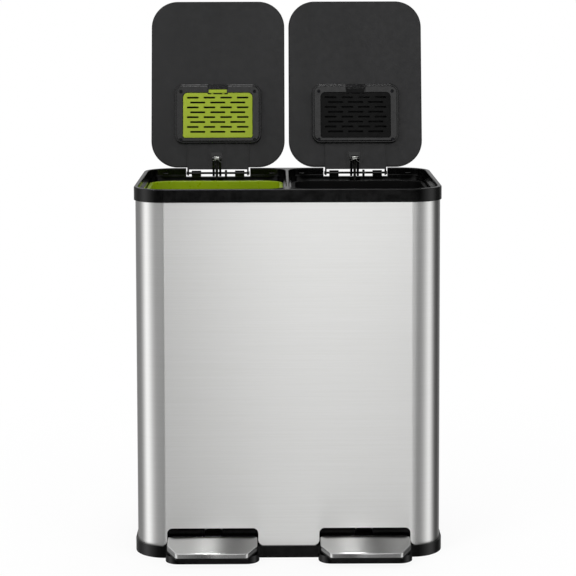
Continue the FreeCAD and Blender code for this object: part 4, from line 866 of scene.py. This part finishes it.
def felt_pad(side):
    """A pillow on the lid: flat at the back, crowned in front, with a thin sealed border."""
    back_layer, front_layer = pad_layers(side)
    mesh = bpy.data.meshes.new(f"felt_pad_{side}")
    points = [tuple(v) for v in back_layer + front_layer]
    mesh.from_pydata(points, [], pad_faces(len(back_layer)))
    mesh.materials.append(CHARCOAL_FELT)
    for face in mesh.polygons:
        face.use_smooth = True
    thing = bpy.data.objects.new(f"felt_pad_{side}", mesh)
    bpy.context.scene.collection.objects.link(thing)
    return thing


for side in SIDES:
    felt = felt_pad(side)
    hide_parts(f"filter_pad_{side}")
    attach(felt, f"lid_{side}")
    print(felt.name, len(felt.data.polygons), "faces")

# %% [markdown]
# **Rod clips.** A bright spring clip holds each rod's eye on the lid lever. It hugs the front of
# the eye, and its two wire ends stand out to the sides between the lever's plates, so it moves with
# the rod and stays clear of the rim when the lid closes. The band is a short arc of four-cornered
# sections, and each wire a round tube through four points, both built with bmesh.

# %% Spring clips on the rods
EYE_Y_MM = 148.07
EYE_Z_MM = 636.23
EYE_RADIUS_MM = 4.5
ROD_OFFSET_MM = -2.0
BAND_INNER_MM = EYE_RADIUS_MM + 0.15
BAND_OUTER_MM = EYE_RADIUS_MM + 0.75
BAND_HALF_MM = 4.8
BAND_START, BAND_SWEEP = -14, 80
BAND_STEPS = 12
WIRE_RADIUS_MM = 0.4
WIRE_SIDES = 10
WIRE_FRONT_MM = EYE_Y_MM - BAND_OUTER_MM - 0.15
WIRE_ACROSS_MM = (1.5, 3.6, 5.8, 7.4)
WIRE_BACK_MM = (0.4, 0.0, 0.0, 0.2)
# The wires drop by these on the left hand and on the right hand.
WIRE_DROPS_MM = {-1: (-1.0, -1.6, -2.2, -2.6), 1: (-1.0, -2.2, -3.8, -5.6)}


def bridge(bm, rings):
    """Walls between neighbouring rings of vertices, and a cap at each end."""
    for first, second in zip(rings, rings[1:]):
        for k in range(len(first)):
            n = (k + 1) % len(first)
            bm.faces.new((first[k], second[k], second[n], first[n]))
    bm.faces.new(rings[0])
    bm.faces.new(rings[-1])


def wire(bm, points, radius):
    """A round wire with closed ends through points."""
    rings = []
    turns = [math.tau * k / WIRE_SIDES for k in range(WIRE_SIDES)]
    for index, point in enumerate(points):
        before = points[max(index - 1, 0)]
        after = points[min(index + 1, len(points) - 1)]
        along = (after - before).normalized()
        level = along.cross(Vector((0, 1, 0))).normalized()
        other = along.cross(level)
        spokes = [math.cos(turn) * level + math.sin(turn) * other for turn in turns]
        rings.append([bm.verts.new(point + radius * spoke) for spoke in spokes])
    bridge(bm, rings)


def band(bm, middle):
    """A curved strip over the front of the eye."""
    outline = (
        (-BAND_HALF_MM, BAND_INNER_MM),
        (BAND_HALF_MM, BAND_INNER_MM),
        (BAND_HALF_MM, BAND_OUTER_MM),
        (-BAND_HALF_MM, BAND_OUTER_MM),
    )
    sections = []
    for index in range(BAND_STEPS + 1):
        turn = math.radians(BAND_START + BAND_SWEEP * index / BAND_STEPS)
        corners = []
        for across, reach in outline:
            y = EYE_Y_MM - reach * math.cos(turn)
            z = EYE_Z_MM + reach * math.sin(turn)
            corners.append(bm.verts.new(Vector((middle + across, y, z)) * MM))
        sections.append(corners)
    bridge(bm, sections)


def spring_clip(side):
    """The band over the front of the eye, with its two wire ends."""
    bm = bmesh.new()
    middle = SIDES[side] * LID_MIDDLE_MM + ROD_OFFSET_MM
    band(bm, middle)
    for hand, drops in WIRE_DROPS_MM.items():
        line = []
        for across, back, drop in zip(WIRE_ACROSS_MM, WIRE_BACK_MM, drops):
            place = (middle + hand * across, WIRE_FRONT_MM + back, EYE_Z_MM + drop)
            line.append(Vector(place) * MM)
        wire(bm, line, WIRE_RADIUS_MM * MM)
    bmesh.ops.recalc_face_normals(bm, faces=bm.faces)
    mesh = bpy.data.meshes.new(f"spring_clip_{side}")
    bm.to_mesh(mesh)
    bm.free()
    mesh.materials.append(ZINC)
    thing = bpy.data.objects.new(f"spring_clip_{side}", mesh)
    bpy.context.scene.collection.objects.link(thing)
    return thing


for side in SIDES:
    clip = spring_clip(side)
    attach(clip, f"rod_{side}")
    print(clip.name, len(clip.data.polygons), "faces")

# %% [markdown]
# ** Finish.** The Standard view shows each colour as it was written.

# %% Finish
bpy.context.scene.view_settings.view_transform = "Standard"
